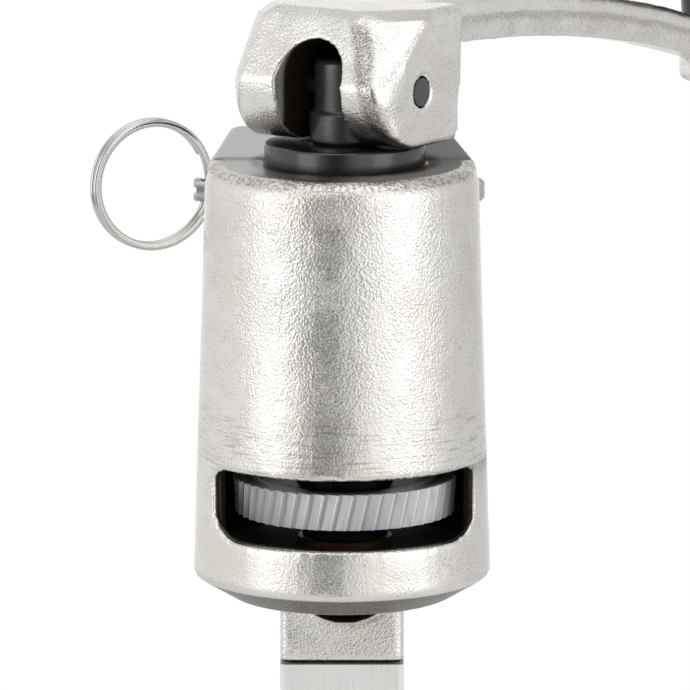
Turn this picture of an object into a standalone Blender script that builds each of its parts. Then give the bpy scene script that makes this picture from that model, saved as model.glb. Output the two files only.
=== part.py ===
"""Head of a bench can opener: a cast head on a square bar, with a crank lever,
a serrated drive wheel behind a window, and a knife held by a pull-ring pin.

Metres, +Z up. The origin is the centre of the bar's lower end. +X is to the right and
-Y to the front, where the window is. The crank axis is upright, a little to the right of
the Z axis.
"""
import math

import bmesh
import bpy
from mathutils import Matrix, Vector

MM = 0.001

# ---- Clearances -------------------------------------------------------------
GAP = 0.3 * MM            # between pieces that rest on, or are cut by, each other
RUN_GAP = 0.25 * MM       # all round a pin, shaft or sleeve in its bore

# ---- Bar and stem -----------------------------------------------------------
BAR_LENGTH = 200.0 * MM
BAR_WIDTH = 24.7 * MM
BAR_EDGE = 1.0 * MM
STEM_HEIGHT = 16.6 * MM   # from the bar's shoulder to the foot of the round wall
STEM_EDGE = 1.4 * MM
TENON_WIDTH = 17.0 * MM
TENON_HEIGHT = 7.2 * MM
ROLL_PIN_RADIUS = 1.5 * MM
ROLL_PIN_WALL = 0.5 * MM

# ---- Head casting -----------------------------------------------------------
HEAD_HEIGHT = 82.7 * MM
HEAD_TOP_RADIUS = 27.3 * MM
HEAD_FOOT_RADIUS = 29.8 * MM
HEAD_FILLET = 4.2 * MM
FOOT_CONE_DROP = 4.8 * MM
FOOT_CONE_STEP = 8.0 * MM
CAVITY_RADIUS = 26.0 * MM
FLOOR_HEIGHT = 5.5 * MM
CEILING_HEIGHT = 31.0 * MM

WINDOW_LEFT = 24.9 * MM
WINDOW_RIGHT = 26.0 * MM
WINDOW_SILL = 9.5 * MM
WINDOW_HEIGHT = 14.0 * MM
WINDOW_LOWER_CORNER = 5.0 * MM
WINDOW_UPPER_CORNER = 2.0 * MM
WINDOW_END_Y = -11.5 * MM       # how far back the window is cut

ARM_BLOCK_REACH = 49.5 * MM     # rear overhang, from the crank axis
ARM_BLOCK_HALF_FRONT = 27.0 * MM
ARM_BLOCK_LEFT_BACK = 23.4 * MM
ARM_BLOCK_RIGHT_BACK = 22.0 * MM
ARM_BLOCK_START = 4.0 * MM
ARM_BLOCK_STEP = 0.4 * MM       # the overhang's top stands this much over the round part
ARM_BLOCK_TOE = 24.0 * MM       # height of its back face
ARM_BLOCK_CORNER = 4.0 * MM
TOE_WALL = 2.5 * MM             # flat underside left behind the knife's slot
ARM_BLOCK_EDGE = 2.2 * MM
MOUTH_HALF_WIDTH = 15.0 * MM
MOUTH_START = 20.5 * MM

POCKET_RADIUS = 11.6 * MM       # scallop in the stem's front, under the floor
POCKET_DEPTH = 3.3 * MM
POCKET_BACK = 8.0 * MM

# ---- Turning parts ----------------------------------------------------------
CRANK_SHIFT = 0.6 * MM          # of the crank axis, to the right of the bar's middle
SHAFT_RADIUS = 6.1 * MM
BOSS_RADIUS = 7.1 * MM
JOURNAL_RADIUS = 5.0 * MM
PILOT_RADIUS = 3.6 * MM         # of the shaft's end, under the floor
SHAFT_CHAMFER = 0.8 * MM
SHAFT_ABOVE_PIN = 5.5 * MM
BOSS_BELOW_PIN = 4.6 * MM
JOURNAL_END_DROP = 1.6 * MM     # how far the shaft's end shows under the floor

SLEEVE_RADIUS = 9.9 * MM
FLANGE_RADIUS = 16.1 * MM
FLANGE_HEIGHT = 5.0 * MM
FLANGE_SEAT = 1.0 * MM          # depth of the counterbore the flange sits in
FLANGE_EDGE = 0.5 * MM
FLANGE_MARK = 0.5 * MM          # width and depth of the line down the flange's rim
FLANGE_MARK_ANGLE = -58.0       # degrees from the front, about +Z

WHEEL_TOP_RADIUS = 22.4 * MM
WHEEL_FOOT_RADIUS = 22.0 * MM
WHEEL_THICKNESS = 7.3 * MM
WHEEL_TOP_HEIGHT = 19.6 * MM    # above the foot of the round wall
WHEEL_TEETH = 48
WHEEL_TOOTH_DEPTH = 0.9 * MM
WHEEL_TOOTH_STEP_SHARE = 0.16   # share of the pitch taken by a tooth's steep flank
WHEEL_TWIST = math.radians(4.2)
WHEEL_HUB_RADIUS = 9.6 * MM
WHEEL_DISH_RADIUS = 17.5 * MM
WHEEL_DISH_DEPTH = 1.6 * MM

CLIP_THICKNESS = 1.2 * MM
CLIP_RADIUS = 8.6 * MM
CLIP_GROOVE_RADIUS = 4.3 * MM
CLIP_MOUTH = 5.4 * MM

BUSH_RADIUS = 7.6 * MM
BUSH_FLANGE_RADIUS = 9.4 * MM
BUSH_FLANGE_THICKNESS = 1.4 * MM

KEY_WIDTH = 3.0 * MM
KEY_SINK = 1.6 * MM             # depth of a key in the shaft
KEY_RISE = 1.3 * MM             # height of a key over the shaft
WHEEL_KEY_LENGTH = 6.0 * MM
SLEEVE_KEY_LENGTH = 14.0 * MM
SLEEVE_KEY_START = 16.0 * MM    # below the head's top

SPRING_WIRE_RADIUS = 0.7 * MM
SPRING_RADIUS = 8.0 * MM
SPRING_TURNS = 3.5
SPRING_POINTS = 10              # points in a turn

# ---- Lever ------------------------------------------------------------------
LEVER_YAW = math.radians(57.0)  # from +X to the lever's length, about +Z
PIN_HEIGHT = 15.6 * MM          # of the cross pin, over the head's top
CROSS_PIN_RADIUS = 2.8 * MM
CAM_RISE = 3.3 * MM             # lift of the spindle over the lever's quarter turn
CAM_STEPS = 14
FORK_HALF_WIDTH = 18.4 * MM
FORK_FRONT_TOP = 6.6 * MM       # reach before the pin, at the fork's top
FORK_TOP = 15.9 * MM
FORK_TOP_EDGE = 1.8 * MM
FORK_BACK = 15.1 * MM           # reach behind the pin, at the top
FORK_BACK_LEAN = 2.0 * MM       # the back face comes in by this much at the foot
FORK_HEEL = 1.6 * MM
FORK_FACET_FOOT = 1.0 * MM      # set-back of the corner facets at the foot
FORK_FACET_LEFT = 4.0 * MM      # and at the top, left and right of the arch
FORK_FACET_RIGHT = 10.0 * MM
SLOT_HALF_WIDTH = 7.6 * MM
SLOT_ARCH_TOP = 10.2 * MM
SLOT_BACK = 9.2 * MM

ARM_UNDERSIDE = 4.9 * MM        # over the cross pin, at the crest of the arm's curve
ARM_CREST = 20.7 * MM           # run from the cross pin to that crest
ARM_LENGTH = 150.0 * MM         # crank radius
ARM_ROOT = 7.0 * MM             # where the arm starts inside the fork
ARM_CURVE_RADIUS = 438.6 * MM   # of the arm's fall, at that crest
ARM_START_HEIGHT = 10.4 * MM
ARM_END_HEIGHT = 7.8 * MM
ARM_START_WIDTH = 17.0 * MM
ARM_END_WIDTH = 12.5 * MM
# The right half of the arm's section: shares of its half width and of its height.
ARM_PROFILE = ((0.62, 0.0), (0.92, 0.42), (1.0, 0.62), (0.94, 0.84), (0.74, 1.0))
ARM_SECTIONS = 16
EYE_RADIUS = 9.5 * MM
EYE_HEIGHT = 13.0 * MM
EYE_EDGE = 1.0 * MM

# ---- Grip -------------------------------------------------------------------
GRIP_HEIGHT = 42.0 * MM
GRIP_FOOT_RADIUS = 9.0 * MM
GRIP_BELLY_RADIUS = 14.0 * MM
GRIP_TOP_RADIUS = 9.5 * MM
GRIP_BELLY_SHARE = 0.62         # height of the belly, as a share of the grip
GRIP_STEPS = 8                  # points of its outline above the belly, and below it
BOLT_SHOULDER_RADIUS = 4.0 * MM
BOLT_THREAD_RADIUS = 3.0 * MM
BOLT_HEAD_RADIUS = 6.0 * MM
BOLT_HEAD_HEIGHT = 4.0 * MM
BOLT_HEAD_SINK = 7.0 * MM       # from the grip's top to the seat of the bolt's head
GRIP_WASHER_RADIUS = 7.5 * MM
GRIP_WASHER_THICKNESS = 1.2 * MM
NUT_ACROSS_FLATS = 10.0 * MM
NUT_HEIGHT = 5.0 * MM
CAP_THICKNESS = 2.2 * MM

# ---- Knife and release pin ----------------------------------------------------
KNIFE_THICKNESS = 3.0 * MM
KNIFE_SHANK_THICKNESS = 12.0 * MM
KNIFE_WIDTH = 16.0 * MM
KNIFE_WHEEL_GAP = 2.2 * MM      # room for a can's rim
KNIFE_SHANK_TOP = 5.0 * MM      # below the head's top
KNIFE_NECK = 6.0 * MM           # height over which the shank thins to the blade
KNIFE_TIP_HEIGHT = 8.6 * MM     # over the foot of the round wall
KNIFE_TIP_SHIFT = -1.5 * MM
KNIFE_TIP_RADIUS = 0.8 * MM
KNIFE_POINT = 7.0 * MM          # height of the point
KNIFE_EDGE = 0.6 * MM           # thickness left at the tip
RELEASE_PIN_RADIUS = 2.4 * MM
RELEASE_PIN_DEPTH = 10.3 * MM   # its axis, below the head's top
RELEASE_PIN_LEFT = 5.3 * MM     # how far it stands out of the left side
RELEASE_PIN_RIGHT = 4.9 * MM
PIN_EDGE = 0.4 * MM             # chamfer of its left end
PIN_NOSE = 0.8 * MM             # and of its right end
PIN_SLOT_WIDTH = 1.6 * MM
PIN_SLOT_DEPTH = 0.6 * MM
RING_EYE_STANDOFF = 2.4 * MM    # of the ring's eye, from the head's side
RING_EYE_RADIUS = 1.7 * MM

RING_RADIUS = 12.6 * MM         # to the middle of the ring's wire
RING_WIRE_HALF_RADIAL = 0.85 * MM
RING_WIRE_HALF_AXIAL = 0.55 * MM
RING_PITCH = 1.55 * MM
RING_START = math.radians(35.0) # where the wire begins, over the pin's eye
RING_TURNS = 1.83
RING_POINTS = 24
RING_YAW = math.radians(26.4)
RING_TILT = 9.2                 # degrees that the ring's middle stands over the eye

TURN_STEPS = 64                 # facets round the large turned pieces
MIDDLE_STEPS = 48
SMALL_STEPS = 28
FINE_STEPS = 20                 # round the pins' smallest bores
ARC_STEPS = 12                  # on the arcs of flat outlines
EDGE_STEPS = 3                  # across a rounded edge
WIRE_SIDES = 8
WELD = 0.01 * MM                # points nearer than this are one
SMOOTH_ANGLE = 35.0             # degrees, shaded smooth below it
WHEEL_SMOOTH_ANGLE = 12.0
PIVOT_SIZE = 10.0 * MM

# ---- Heights that follow from the sizes ---------------------------------------
STEM_FOOT_Z = BAR_LENGTH + GAP
WALL_FOOT_Z = STEM_FOOT_Z + STEM_HEIGHT
UNDERSIDE_Z = WALL_FOOT_Z - FOOT_CONE_DROP
TOP_Z = WALL_FOOT_Z + HEAD_HEIGHT
FLOOR_Z = WALL_FOOT_Z + FLOOR_HEIGHT
CEILING_Z = WALL_FOOT_Z + CEILING_HEIGHT
FLANGE_FOOT_Z = TOP_Z - FLANGE_SEAT + GAP
FLANGE_TOP_Z = FLANGE_FOOT_Z + FLANGE_HEIGHT
PIN_Z = TOP_Z + PIN_HEIGHT
WHEEL_TOP_Z = WALL_FOOT_Z + WHEEL_TOP_HEIGHT
WHEEL_FOOT_Z = WHEEL_TOP_Z - WHEEL_THICKNESS
BUSH_TOP_Z = FLOOR_Z + GAP + BUSH_FLANGE_THICKNESS
CLIP_FOOT_Z = BUSH_TOP_Z + GAP
CLIP_TOP_Z = CLIP_FOOT_Z + CLIP_THICKNESS
HUB_FOOT_Z = CLIP_TOP_Z + GAP
SLEEVE_FOOT_Z = CEILING_Z
SPRING_TOP_Z = SLEEVE_FOOT_Z - GAP - SPRING_WIRE_RADIUS
SPRING_FOOT_Z = WHEEL_TOP_Z + GAP + SPRING_WIRE_RADIUS
CAM_REST = PIN_Z - FLANGE_TOP_Z - GAP
CAM_SLOPE = CAM_RISE / (math.pi / 2.0)
KNIFE_FRONT_Y = WHEEL_TOP_RADIUS + KNIFE_WHEEL_GAP
SHANK_Y = KNIFE_FRONT_Y + KNIFE_SHANK_THICKNESS / 2.0
RELEASE_PIN_Z = TOP_Z - RELEASE_PIN_DEPTH

FINISHES = {
    "cast_nickel": ((0.62, 0.60, 0.57, 1.0), 0.32, 1.0),
    "satin_steel": ((0.66, 0.65, 0.63, 1.0), 0.30, 1.0),
    "wheel_steel": ((0.55, 0.55, 0.56, 1.0), 0.38, 1.0),
    "black_oxide": ((0.030, 0.031, 0.034, 1.0), 0.42, 0.7),
    "black_plastic": ((0.020, 0.021, 0.024, 1.0), 0.45, 0.0),
    "bright_steel": ((0.60, 0.60, 0.60, 1.0), 0.22, 1.0),
    "bronze": ((0.45, 0.30, 0.14, 1.0), 0.40, 1.0),
}


# ---- Scene and material set-up ------------------------------------------------
def clear_scene():
    """Remove every object, so that the file holds only this model."""
    for old in list(bpy.data.objects):
        bpy.data.objects.remove(old, do_unlink=True)


def make_collection(name):
    """A new collection in the scene."""
    collection = bpy.data.collections.new(name)
    bpy.context.scene.collection.children.link(collection)
    return collection


def make_material(name, finish):
    """A material of its own for one node, from the table of finishes."""
    colour, roughness, metallic = FINISHES[finish]
    material = bpy.data.materials.new(name)
    material.use_nodes = True
    shader = material.node_tree.nodes["Principled BSDF"]
    shader.inputs["Base Color"].default_value = colour
    shader.inputs["Roughness"].default_value = roughness
    shader.inputs["Metallic"].default_value = metallic
    material.diffuse_color = colour
    return material


clear_scene()
PARTS = make_collection("bench_can_opener_head")
CUTTERS = make_collection("cutters")


def pivot(name, location, parent=None, yaw=0.0):
    """An empty on a joint's axis; the pieces of one moving body hang on it."""
    empty = bpy.data.objects.new(name, None)
    empty.empty_display_size = PIVOT_SIZE
    empty.location = location
    empty.rotation_euler = (0.0, 0.0, yaw)
    empty.parent = parent
    PARTS.objects.link(empty)
    return empty


def add_part(name, mesh, finish, parent=None, smooth=SMOOTH_ANGLE):
    """Link a finished mesh as a node with its own material."""
    mesh.name = name
    mesh.materials.clear()
    mesh.materials.append(make_material(name, finish))
    part = bpy.data.objects.new(name, mesh)
    part.parent = parent
    PARTS.objects.link(part)
    mesh.shade_smooth()
    mesh.set_sharp_from_angle(angle=math.radians(smooth))
    return part


def add_cutter(name, mesh, parent=None):
    """Link a mesh that only cuts or joins, kept out of the render."""
    mesh.name = name
    cutter = bpy.data.objects.new(name, mesh)
    cutter.parent = parent
    cutter.display_type = "WIRE"
    cutter.hide_render = True
    CUTTERS.objects.link(cutter)
    return cutter


def combine(part, other, operation):
    """Join another mesh to a part, or cut it away."""
    modifier = part.modifiers.new(other.name, "BOOLEAN")
    modifier.operation = operation
    modifier.object = other
    modifier.solver = "EXACT"
    return modifier


def cut(part, *cutters):
    """Cut each of the cutters away."""
    for cutter in cutters:
        combine(part, cutter, "DIFFERENCE")


def join(part, *others):
    """Join each of the others on."""
    for other in others:
        combine(part, other, "UNION")


# ---- Shape makers ---------------------------------------------------------------
def mesh_from_bmesh(shape):
    """A mesh of a finished bmesh, which is freed."""
    mesh = bpy.data.meshes.new("shape")
    shape.to_mesh(mesh)
    shape.free()
    return mesh


def bake(source):
    """The evaluated mesh of a temporary object, welded, in its world place."""
    bpy.context.view_layer.update()
    depsgraph = bpy.context.evaluated_depsgraph_get()
    mesh = bpy.data.meshes.new_from_object(source.evaluated_get(depsgraph))
    mesh.transform(source.matrix_world)
    welded = bmesh.new()
    welded.from_mesh(mesh)
    bmesh.ops.remove_doubles(welded, verts=welded.verts, dist=WELD)
    bmesh.ops.recalc_face_normals(welded, faces=welded.faces)
    welded.to_mesh(mesh)
    welded.free()
    data = source.data
    bpy.data.objects.remove(source)
    if isinstance(data, bpy.types.Curve):
        bpy.data.curves.remove(data)
    return mesh


def turned(profile, steps=TURN_STEPS):
    """Spin (radius, height) points about Z. The points run down the outer side.
    A profile that starts or ends off the axis is closed, which leaves a bore."""
    mesh = bpy.data.meshes.new("profile")
    points = [(radius, 0.0, height) for radius, height in profile]
    edges = [(i, i + 1) for i in range(len(points) - 1)]
    if profile[0][0] > 0.0:
        edges.append((len(points) - 1, 0))
    mesh.from_pydata(points, edges, [])
    source = bpy.data.objects.new("profile", mesh)
    CUTTERS.objects.link(source)
    screw = source.modifiers.new("turn", "SCREW")
    screw.steps = steps
    screw.render_steps = steps
    screw.use_merge_vertices = True
    screw.merge_threshold = WELD
    return bake(source)


def cylinder(radius, bottom, top, steps=SMALL_STEPS):
    """A cylinder about Z between two heights."""
    shape = bmesh.new()
    bmesh.ops.create_cone(shape, cap_ends=True, segments=steps, radius1=radius,
                          radius2=radius, depth=top - bottom)
    bmesh.ops.translate(shape, vec=(0.0, 0.0, (top + bottom) / 2.0), verts=shape.verts)
    return mesh_from_bmesh(shape)


def box(low, high, edge=0.0, edges_along=None):
    """A box between two corners, with edges of one direction or all rounded."""
    shape = bmesh.new()
    bmesh.ops.create_cube(shape, size=1.0)
    size = [high[i] - low[i] for i in range(3)]
    middle = [(high[i] + low[i]) / 2.0 for i in range(3)]
    bmesh.ops.scale(shape, vec=size, verts=shape.verts)
    bmesh.ops.translate(shape, vec=middle, verts=shape.verts)
    if edge > 0.0:
        chosen = []
        for e in shape.edges:
            run = (e.verts[1].co - e.verts[0].co).normalized()
            if edges_along is None or abs(run["XYZ".index(edges_along)]) > 0.99:
                chosen.append(e)
        bmesh.ops.bevel(shape, geom=chosen, offset=edge, offset_type="OFFSET",
                        segments=EDGE_STEPS, profile=0.5, affect="EDGES")
    return mesh_from_bmesh(shape)


def arc(centre, radius, start, end):
    """Points on a circle, angles in radians."""
    angles = [start + (end - start) * i / ARC_STEPS for i in range(ARC_STEPS + 1)]
    return [(centre[0] + radius * math.cos(a), centre[1] + radius * math.sin(a))
            for a in angles]


def rounded(corners, steps=5):
    """An outline from (x, y, corner radius) triples, each corner turned to an arc."""
    points = []
    count = len(corners)
    for i, (x, y, radius) in enumerate(corners):
        here = Vector((x, y))
        before = (Vector(corners[i - 1][:2]) - here).normalized()
        after = (Vector(corners[(i + 1) % count][:2]) - here).normalized()
        if radius <= 0.0:
            points.append((x, y))
            continue
        half = before.angle(after) / 2.0
        centre = here + (before + after).normalized() * (radius / math.sin(half))
        first = here + before * (radius / math.tan(half)) - centre
        last = here + after * (radius / math.tan(half)) - centre
        turn = first.angle_signed(last)
        for step in range(steps + 1):
            spoke = first.copy()
            spoke.rotate(Matrix.Rotation(-turn * step / steps, 2))
            points.append(tuple(centre + spoke))
    return points


def plate(outline, thickness):
    """A flat outline in XY, thickened evenly about Z = 0."""
    curve = bpy.data.curves.new("outline", "CURVE")
    curve.dimensions = "2D"
    curve.fill_mode = "BOTH"
    curve.extrude = thickness / 2.0
    spline = curve.splines.new("POLY")
    spline.points.add(len(outline) - 1)
    for point, (x, y) in zip(spline.points, outline):
        point.co = (x, y, 0.0, 1.0)
    spline.use_cyclic_u = True
    source = bpy.data.objects.new("outline", curve)
    CUTTERS.objects.link(source)
    return bake(source)


def moved(mesh, *matrices):
    """A mesh carried through the matrices, the first one first."""
    for matrix in matrices:
        mesh.transform(matrix)
    return mesh


def shift(x=0.0, y=0.0, z=0.0):
    """The matrix of a straight move."""
    return Matrix.Translation((x, y, z))


def turn(degrees, axis):
    """The matrix of a turn about an axis through the origin."""
    return Matrix.Rotation(math.radians(degrees), 4, axis)


def loft(sections):
    """Skin a row of rings that have equal point counts, with both ends closed."""
    shape = bmesh.new()
    rings = [[shape.verts.new(p) for p in ring] for ring in sections]
    count = len(rings[0])
    for near, far in zip(rings, rings[1:]):
        for i in range(count):
            k = (i + 1) % count
            shape.faces.new((near[i], near[k], far[k], far[i]))
    shape.faces.new(reversed(rings[0]))
    shape.faces.new(rings[-1])
    bmesh.ops.recalc_face_normals(shape, faces=shape.faces)
    return mesh_from_bmesh(shape)


def wire(points, half_across, half_along):
    """A tube with an elliptic section along a chain of points, closed at both ends."""
    section = bpy.data.curves.new("section", "CURVE")
    section.dimensions = "2D"
    ring = section.splines.new("POLY")
    ring.points.add(WIRE_SIDES - 1)
    for i, point in enumerate(ring.points):
        angle = 2.0 * math.pi * i / WIRE_SIDES
        point.co = (half_across * math.cos(angle), half_along * math.sin(angle), 0.0, 1.0)
    ring.use_cyclic_u = True
    section_object = bpy.data.objects.new("section", section)
    CUTTERS.objects.link(section_object)
    curve = bpy.data.curves.new("wire", "CURVE")
    curve.dimensions = "3D"
    curve.twist_mode = "Z_UP"
    curve.bevel_mode = "OBJECT"
    curve.bevel_object = section_object
    curve.use_fill_caps = True
    spline = curve.splines.new("POLY")
    spline.points.add(len(points) - 1)
    for point, co in zip(spline.points, points):
        point.co = (*co, 1.0)
    source = bpy.data.objects.new("wire", curve)
    CUTTERS.objects.link(source)
    mesh = bake(source)
    bpy.data.objects.remove(section_object)
    bpy.data.curves.remove(section)
    return mesh


def least_self_gap(points, half_width, skip):
    """Least clear distance between stretches of a coil that lie more than skip points apart."""
    least = math.inf
    for i, a in enumerate(points):
        for b in points[i + skip:]:
            least = min(least, (Vector(a) - Vector(b)).length - 2.0 * half_width)
    return least


# ---- Bar and stem ---------------------------------------------------------------
def make_bar():
    """The square bar with its tenon, and the roll pin that holds it in the stem."""
    half = BAR_WIDTH / 2.0
    bar = add_part("stem_bar", box((-half, -half, 0.0), (half, half, BAR_LENGTH), BAR_EDGE,
                                   "Z"), "satin_steel")
    half = TENON_WIDTH / 2.0
    tenon = add_cutter("bar_tenon", box((-half, -half, BAR_LENGTH - TENON_HEIGHT),
                                        (half, half, STEM_FOOT_Z + TENON_HEIGHT)))
    join(bar, tenon)
    height = STEM_FOOT_Z + TENON_HEIGHT / 2.0
    bore = cylinder(ROLL_PIN_RADIUS + RUN_GAP, -BAR_WIDTH, BAR_WIDTH)
    cut(bar, add_cutter("bar_pin_bore", moved(bore, turn(90, "Y"), shift(z=height))))
    reach = BAR_WIDTH / 2.0 - GAP
    inner = ROLL_PIN_RADIUS - ROLL_PIN_WALL
    profile = [(ROLL_PIN_RADIUS, reach), (ROLL_PIN_RADIUS, -reach), (inner, -reach),
               (inner, reach)]
    tube = moved(turned(profile, FINE_STEPS), turn(90, "Y"), shift(z=height))
    add_part("stem_roll_pin", tube, "bright_steel")


# ---- Head casting ---------------------------------------------------------------
def overhang():
    """The block behind the round part: it narrows to the back, and its toe slopes."""
    top = TOP_Z + ARM_BLOCK_STEP
    plan = rounded([(ARM_BLOCK_HALF_FRONT, ARM_BLOCK_START, 0.0),
                    (ARM_BLOCK_RIGHT_BACK, ARM_BLOCK_REACH, ARM_BLOCK_CORNER),
                    (-ARM_BLOCK_LEFT_BACK, ARM_BLOCK_REACH, ARM_BLOCK_CORNER),
                    (-ARM_BLOCK_HALF_FRONT, ARM_BLOCK_START, 0.0)])
    slab = plate(plan, top - CEILING_Z)
    shape = bmesh.new()
    shape.from_mesh(moved(slab, shift(z=(top + CEILING_Z) / 2.0)))
    rim = [e for e in shape.edges
           if all(v.co.z > top - GAP for v in e.verts) and e.calc_face_angle(0.0) > 1.0
           and max(v.co.y for v in e.verts) > ARM_BLOCK_START + GAP]
    bmesh.ops.bevel(shape, geom=rim, offset=ARM_BLOCK_EDGE, offset_type="OFFSET",
                    segments=EDGE_STEPS, profile=0.5, affect="EDGES")
    return mesh_from_bmesh(shape)


def toe_wedge():
    """What slopes the overhang's underside up to its back face, behind the knife's slot."""
    start = SHANK_Y + KNIFE_SHANK_THICKNESS / 2.0 + TOE_WALL
    rise = (HEAD_HEIGHT - CEILING_HEIGHT - ARM_BLOCK_TOE) / (ARM_BLOCK_REACH - start)
    far = 2.0 * ARM_BLOCK_REACH
    low = CEILING_Z - STEM_HEIGHT
    side = [(start, CEILING_Z), (start - TOE_WALL, low), (far, low),
            (far, CEILING_Z + rise * (far - start))]
    return moved(plate(side, 4.0 * ARM_BLOCK_HALF_FRONT), turn(90, "X"), turn(90, "Z"))


def make_head():
    """The casting: its round wall, foot cone, rear overhang and stem, then every opening."""
    fillet_centre_x = HEAD_TOP_RADIUS - HEAD_FILLET
    shoulder = arc((fillet_centre_x, TOP_Z - HEAD_FILLET), HEAD_FILLET, math.pi / 2.0, 0.0)
    profile = [(0.0, TOP_Z), *shoulder, (HEAD_FOOT_RADIUS, WALL_FOOT_Z),
               (HEAD_FOOT_RADIUS - FOOT_CONE_STEP, UNDERSIDE_Z), (0.0, UNDERSIDE_Z)]
    head = add_part("head_casting", turned(profile), "cast_nickel")
    half = BAR_WIDTH / 2.0
    stem = add_cutter("stem_block", box((-half, -half, STEM_FOOT_Z),
                                        (half, half, FLOOR_Z - GAP), STEM_EDGE, "Z"))
    join(head, add_cutter("overhang_block", overhang()), stem)
    cut(head, add_cutter("toe_wedge", toe_wedge()))

    aside = shift(x=CRANK_SHIFT)
    chamber = cylinder(CAVITY_RADIUS, FLOOR_Z, CEILING_Z, TURN_STEPS)
    cavity = add_cutter("cavity", moved(chamber, aside))
    sill = WALL_FOOT_Z + WINDOW_SILL
    lintel = sill + WINDOW_HEIGHT
    outline = rounded([(-WINDOW_LEFT, sill, WINDOW_LOWER_CORNER),
                       (WINDOW_RIGHT, sill, WINDOW_LOWER_CORNER),
                       (WINDOW_RIGHT, lintel, WINDOW_UPPER_CORNER),
                       (-WINDOW_LEFT, lintel, WINDOW_UPPER_CORNER)])
    window = add_cutter("window", moved(plate(outline, HEAD_FOOT_RADIUS), turn(90, "X"),
                                        shift(y=WINDOW_END_Y - HEAD_FOOT_RADIUS / 2.0)))
    mouth = add_cutter("mouth", box(
        (-MOUTH_HALF_WIDTH, MOUTH_START, UNDERSIDE_Z - STEM_HEIGHT),
        (MOUTH_HALF_WIDTH, 2.0 * ARM_BLOCK_REACH, CEILING_Z)))
    seat = FLANGE_RADIUS + RUN_GAP
    bore = SLEEVE_RADIUS + RUN_GAP
    well_foot = CEILING_Z - FLANGE_SEAT
    well = [(0.0, TOP_Z + STEM_HEIGHT), (seat, TOP_Z + STEM_HEIGHT),
            (seat, TOP_Z - FLANGE_SEAT), (bore, TOP_Z - FLANGE_SEAT), (bore, well_foot),
            (0.0, well_foot)]
    sleeve_bore = add_cutter("sleeve_bore", moved(turned(well, MIDDLE_STEPS), aside))
    bush_hole = cylinder(BUSH_RADIUS + RUN_GAP, UNDERSIDE_Z - GAP, FLOOR_Z + GAP)
    bush_bore = add_cutter("bush_bore", moved(bush_hole, aside))
    cut(head, cavity, window, mouth, sleeve_bore, bush_bore)

    drop = POCKET_RADIUS - POCKET_DEPTH
    spread = math.acos(drop / POCKET_RADIUS)
    scallop = arc((0.0, UNDERSIDE_Z + drop), POCKET_RADIUS, -math.pi / 2.0 - spread,
                  -math.pi / 2.0 + spread)
    pocket = moved(plate(scallop, BAR_WIDTH + POCKET_BACK), turn(90, "X"),
                   shift(x=CRANK_SHIFT, y=(POCKET_BACK - BAR_WIDTH) / 2.0))
    half = TENON_WIDTH / 2.0 + GAP
    socket = box((-half, -half, STEM_FOOT_Z - STEM_HEIGHT),
                 (half, half, STEM_FOOT_Z + TENON_HEIGHT + GAP))
    roll_bore = moved(cylinder(ROLL_PIN_RADIUS + RUN_GAP, -BAR_WIDTH, BAR_WIDTH), turn(90, "Y"),
                      shift(z=STEM_FOOT_Z + TENON_HEIGHT / 2.0))
    pin_bore = moved(cylinder(RELEASE_PIN_RADIUS + RUN_GAP, -2.0 * HEAD_FOOT_RADIUS,
                              2.0 * HEAD_FOOT_RADIUS),
                     turn(90, "Y"), shift(y=SHANK_Y, z=RELEASE_PIN_Z))
    reach = KNIFE_WIDTH / 2.0 + GAP
    depth = KNIFE_SHANK_THICKNESS / 2.0 + GAP
    knife_slot = box((-reach, SHANK_Y - depth, CEILING_Z - STEM_HEIGHT),
                     (reach, SHANK_Y + depth, TOP_Z - KNIFE_SHANK_TOP + GAP))
    cut(head, add_cutter("pocket", pocket), add_cutter("tenon_socket", socket),
        add_cutter("roll_pin_bore", roll_bore), add_cutter("release_pin_bore", pin_bore),
        add_cutter("knife_slot", knife_slot))


def make_lower_bush():
    """The bronze bush that the shaft's journal turns in, with a flange on the floor."""
    foot = UNDERSIDE_Z + GAP
    inner = JOURNAL_RADIUS + RUN_GAP
    profile = [(BUSH_FLANGE_RADIUS, BUSH_TOP_Z), (BUSH_FLANGE_RADIUS, FLOOR_Z + GAP),
               (BUSH_RADIUS, FLOOR_Z + GAP), (BUSH_RADIUS, foot), (inner, foot),
               (inner, BUSH_TOP_Z)]
    bush = moved(turned(profile, SMALL_STEPS), shift(x=CRANK_SHIFT))
    add_part("floor_bush", bush, "bronze")


# ---- Flanged sleeve and spindle -------------------------------------------------
def key_box(length, foot, width_gap, sink, rise):
    """A key or its slot, on the front (-Y) side of the shaft."""
    half = KEY_WIDTH / 2.0 + width_gap
    return box((-half, -SHAFT_RADIUS - rise, foot), (half, -SHAFT_RADIUS + sink, foot + length))


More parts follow.
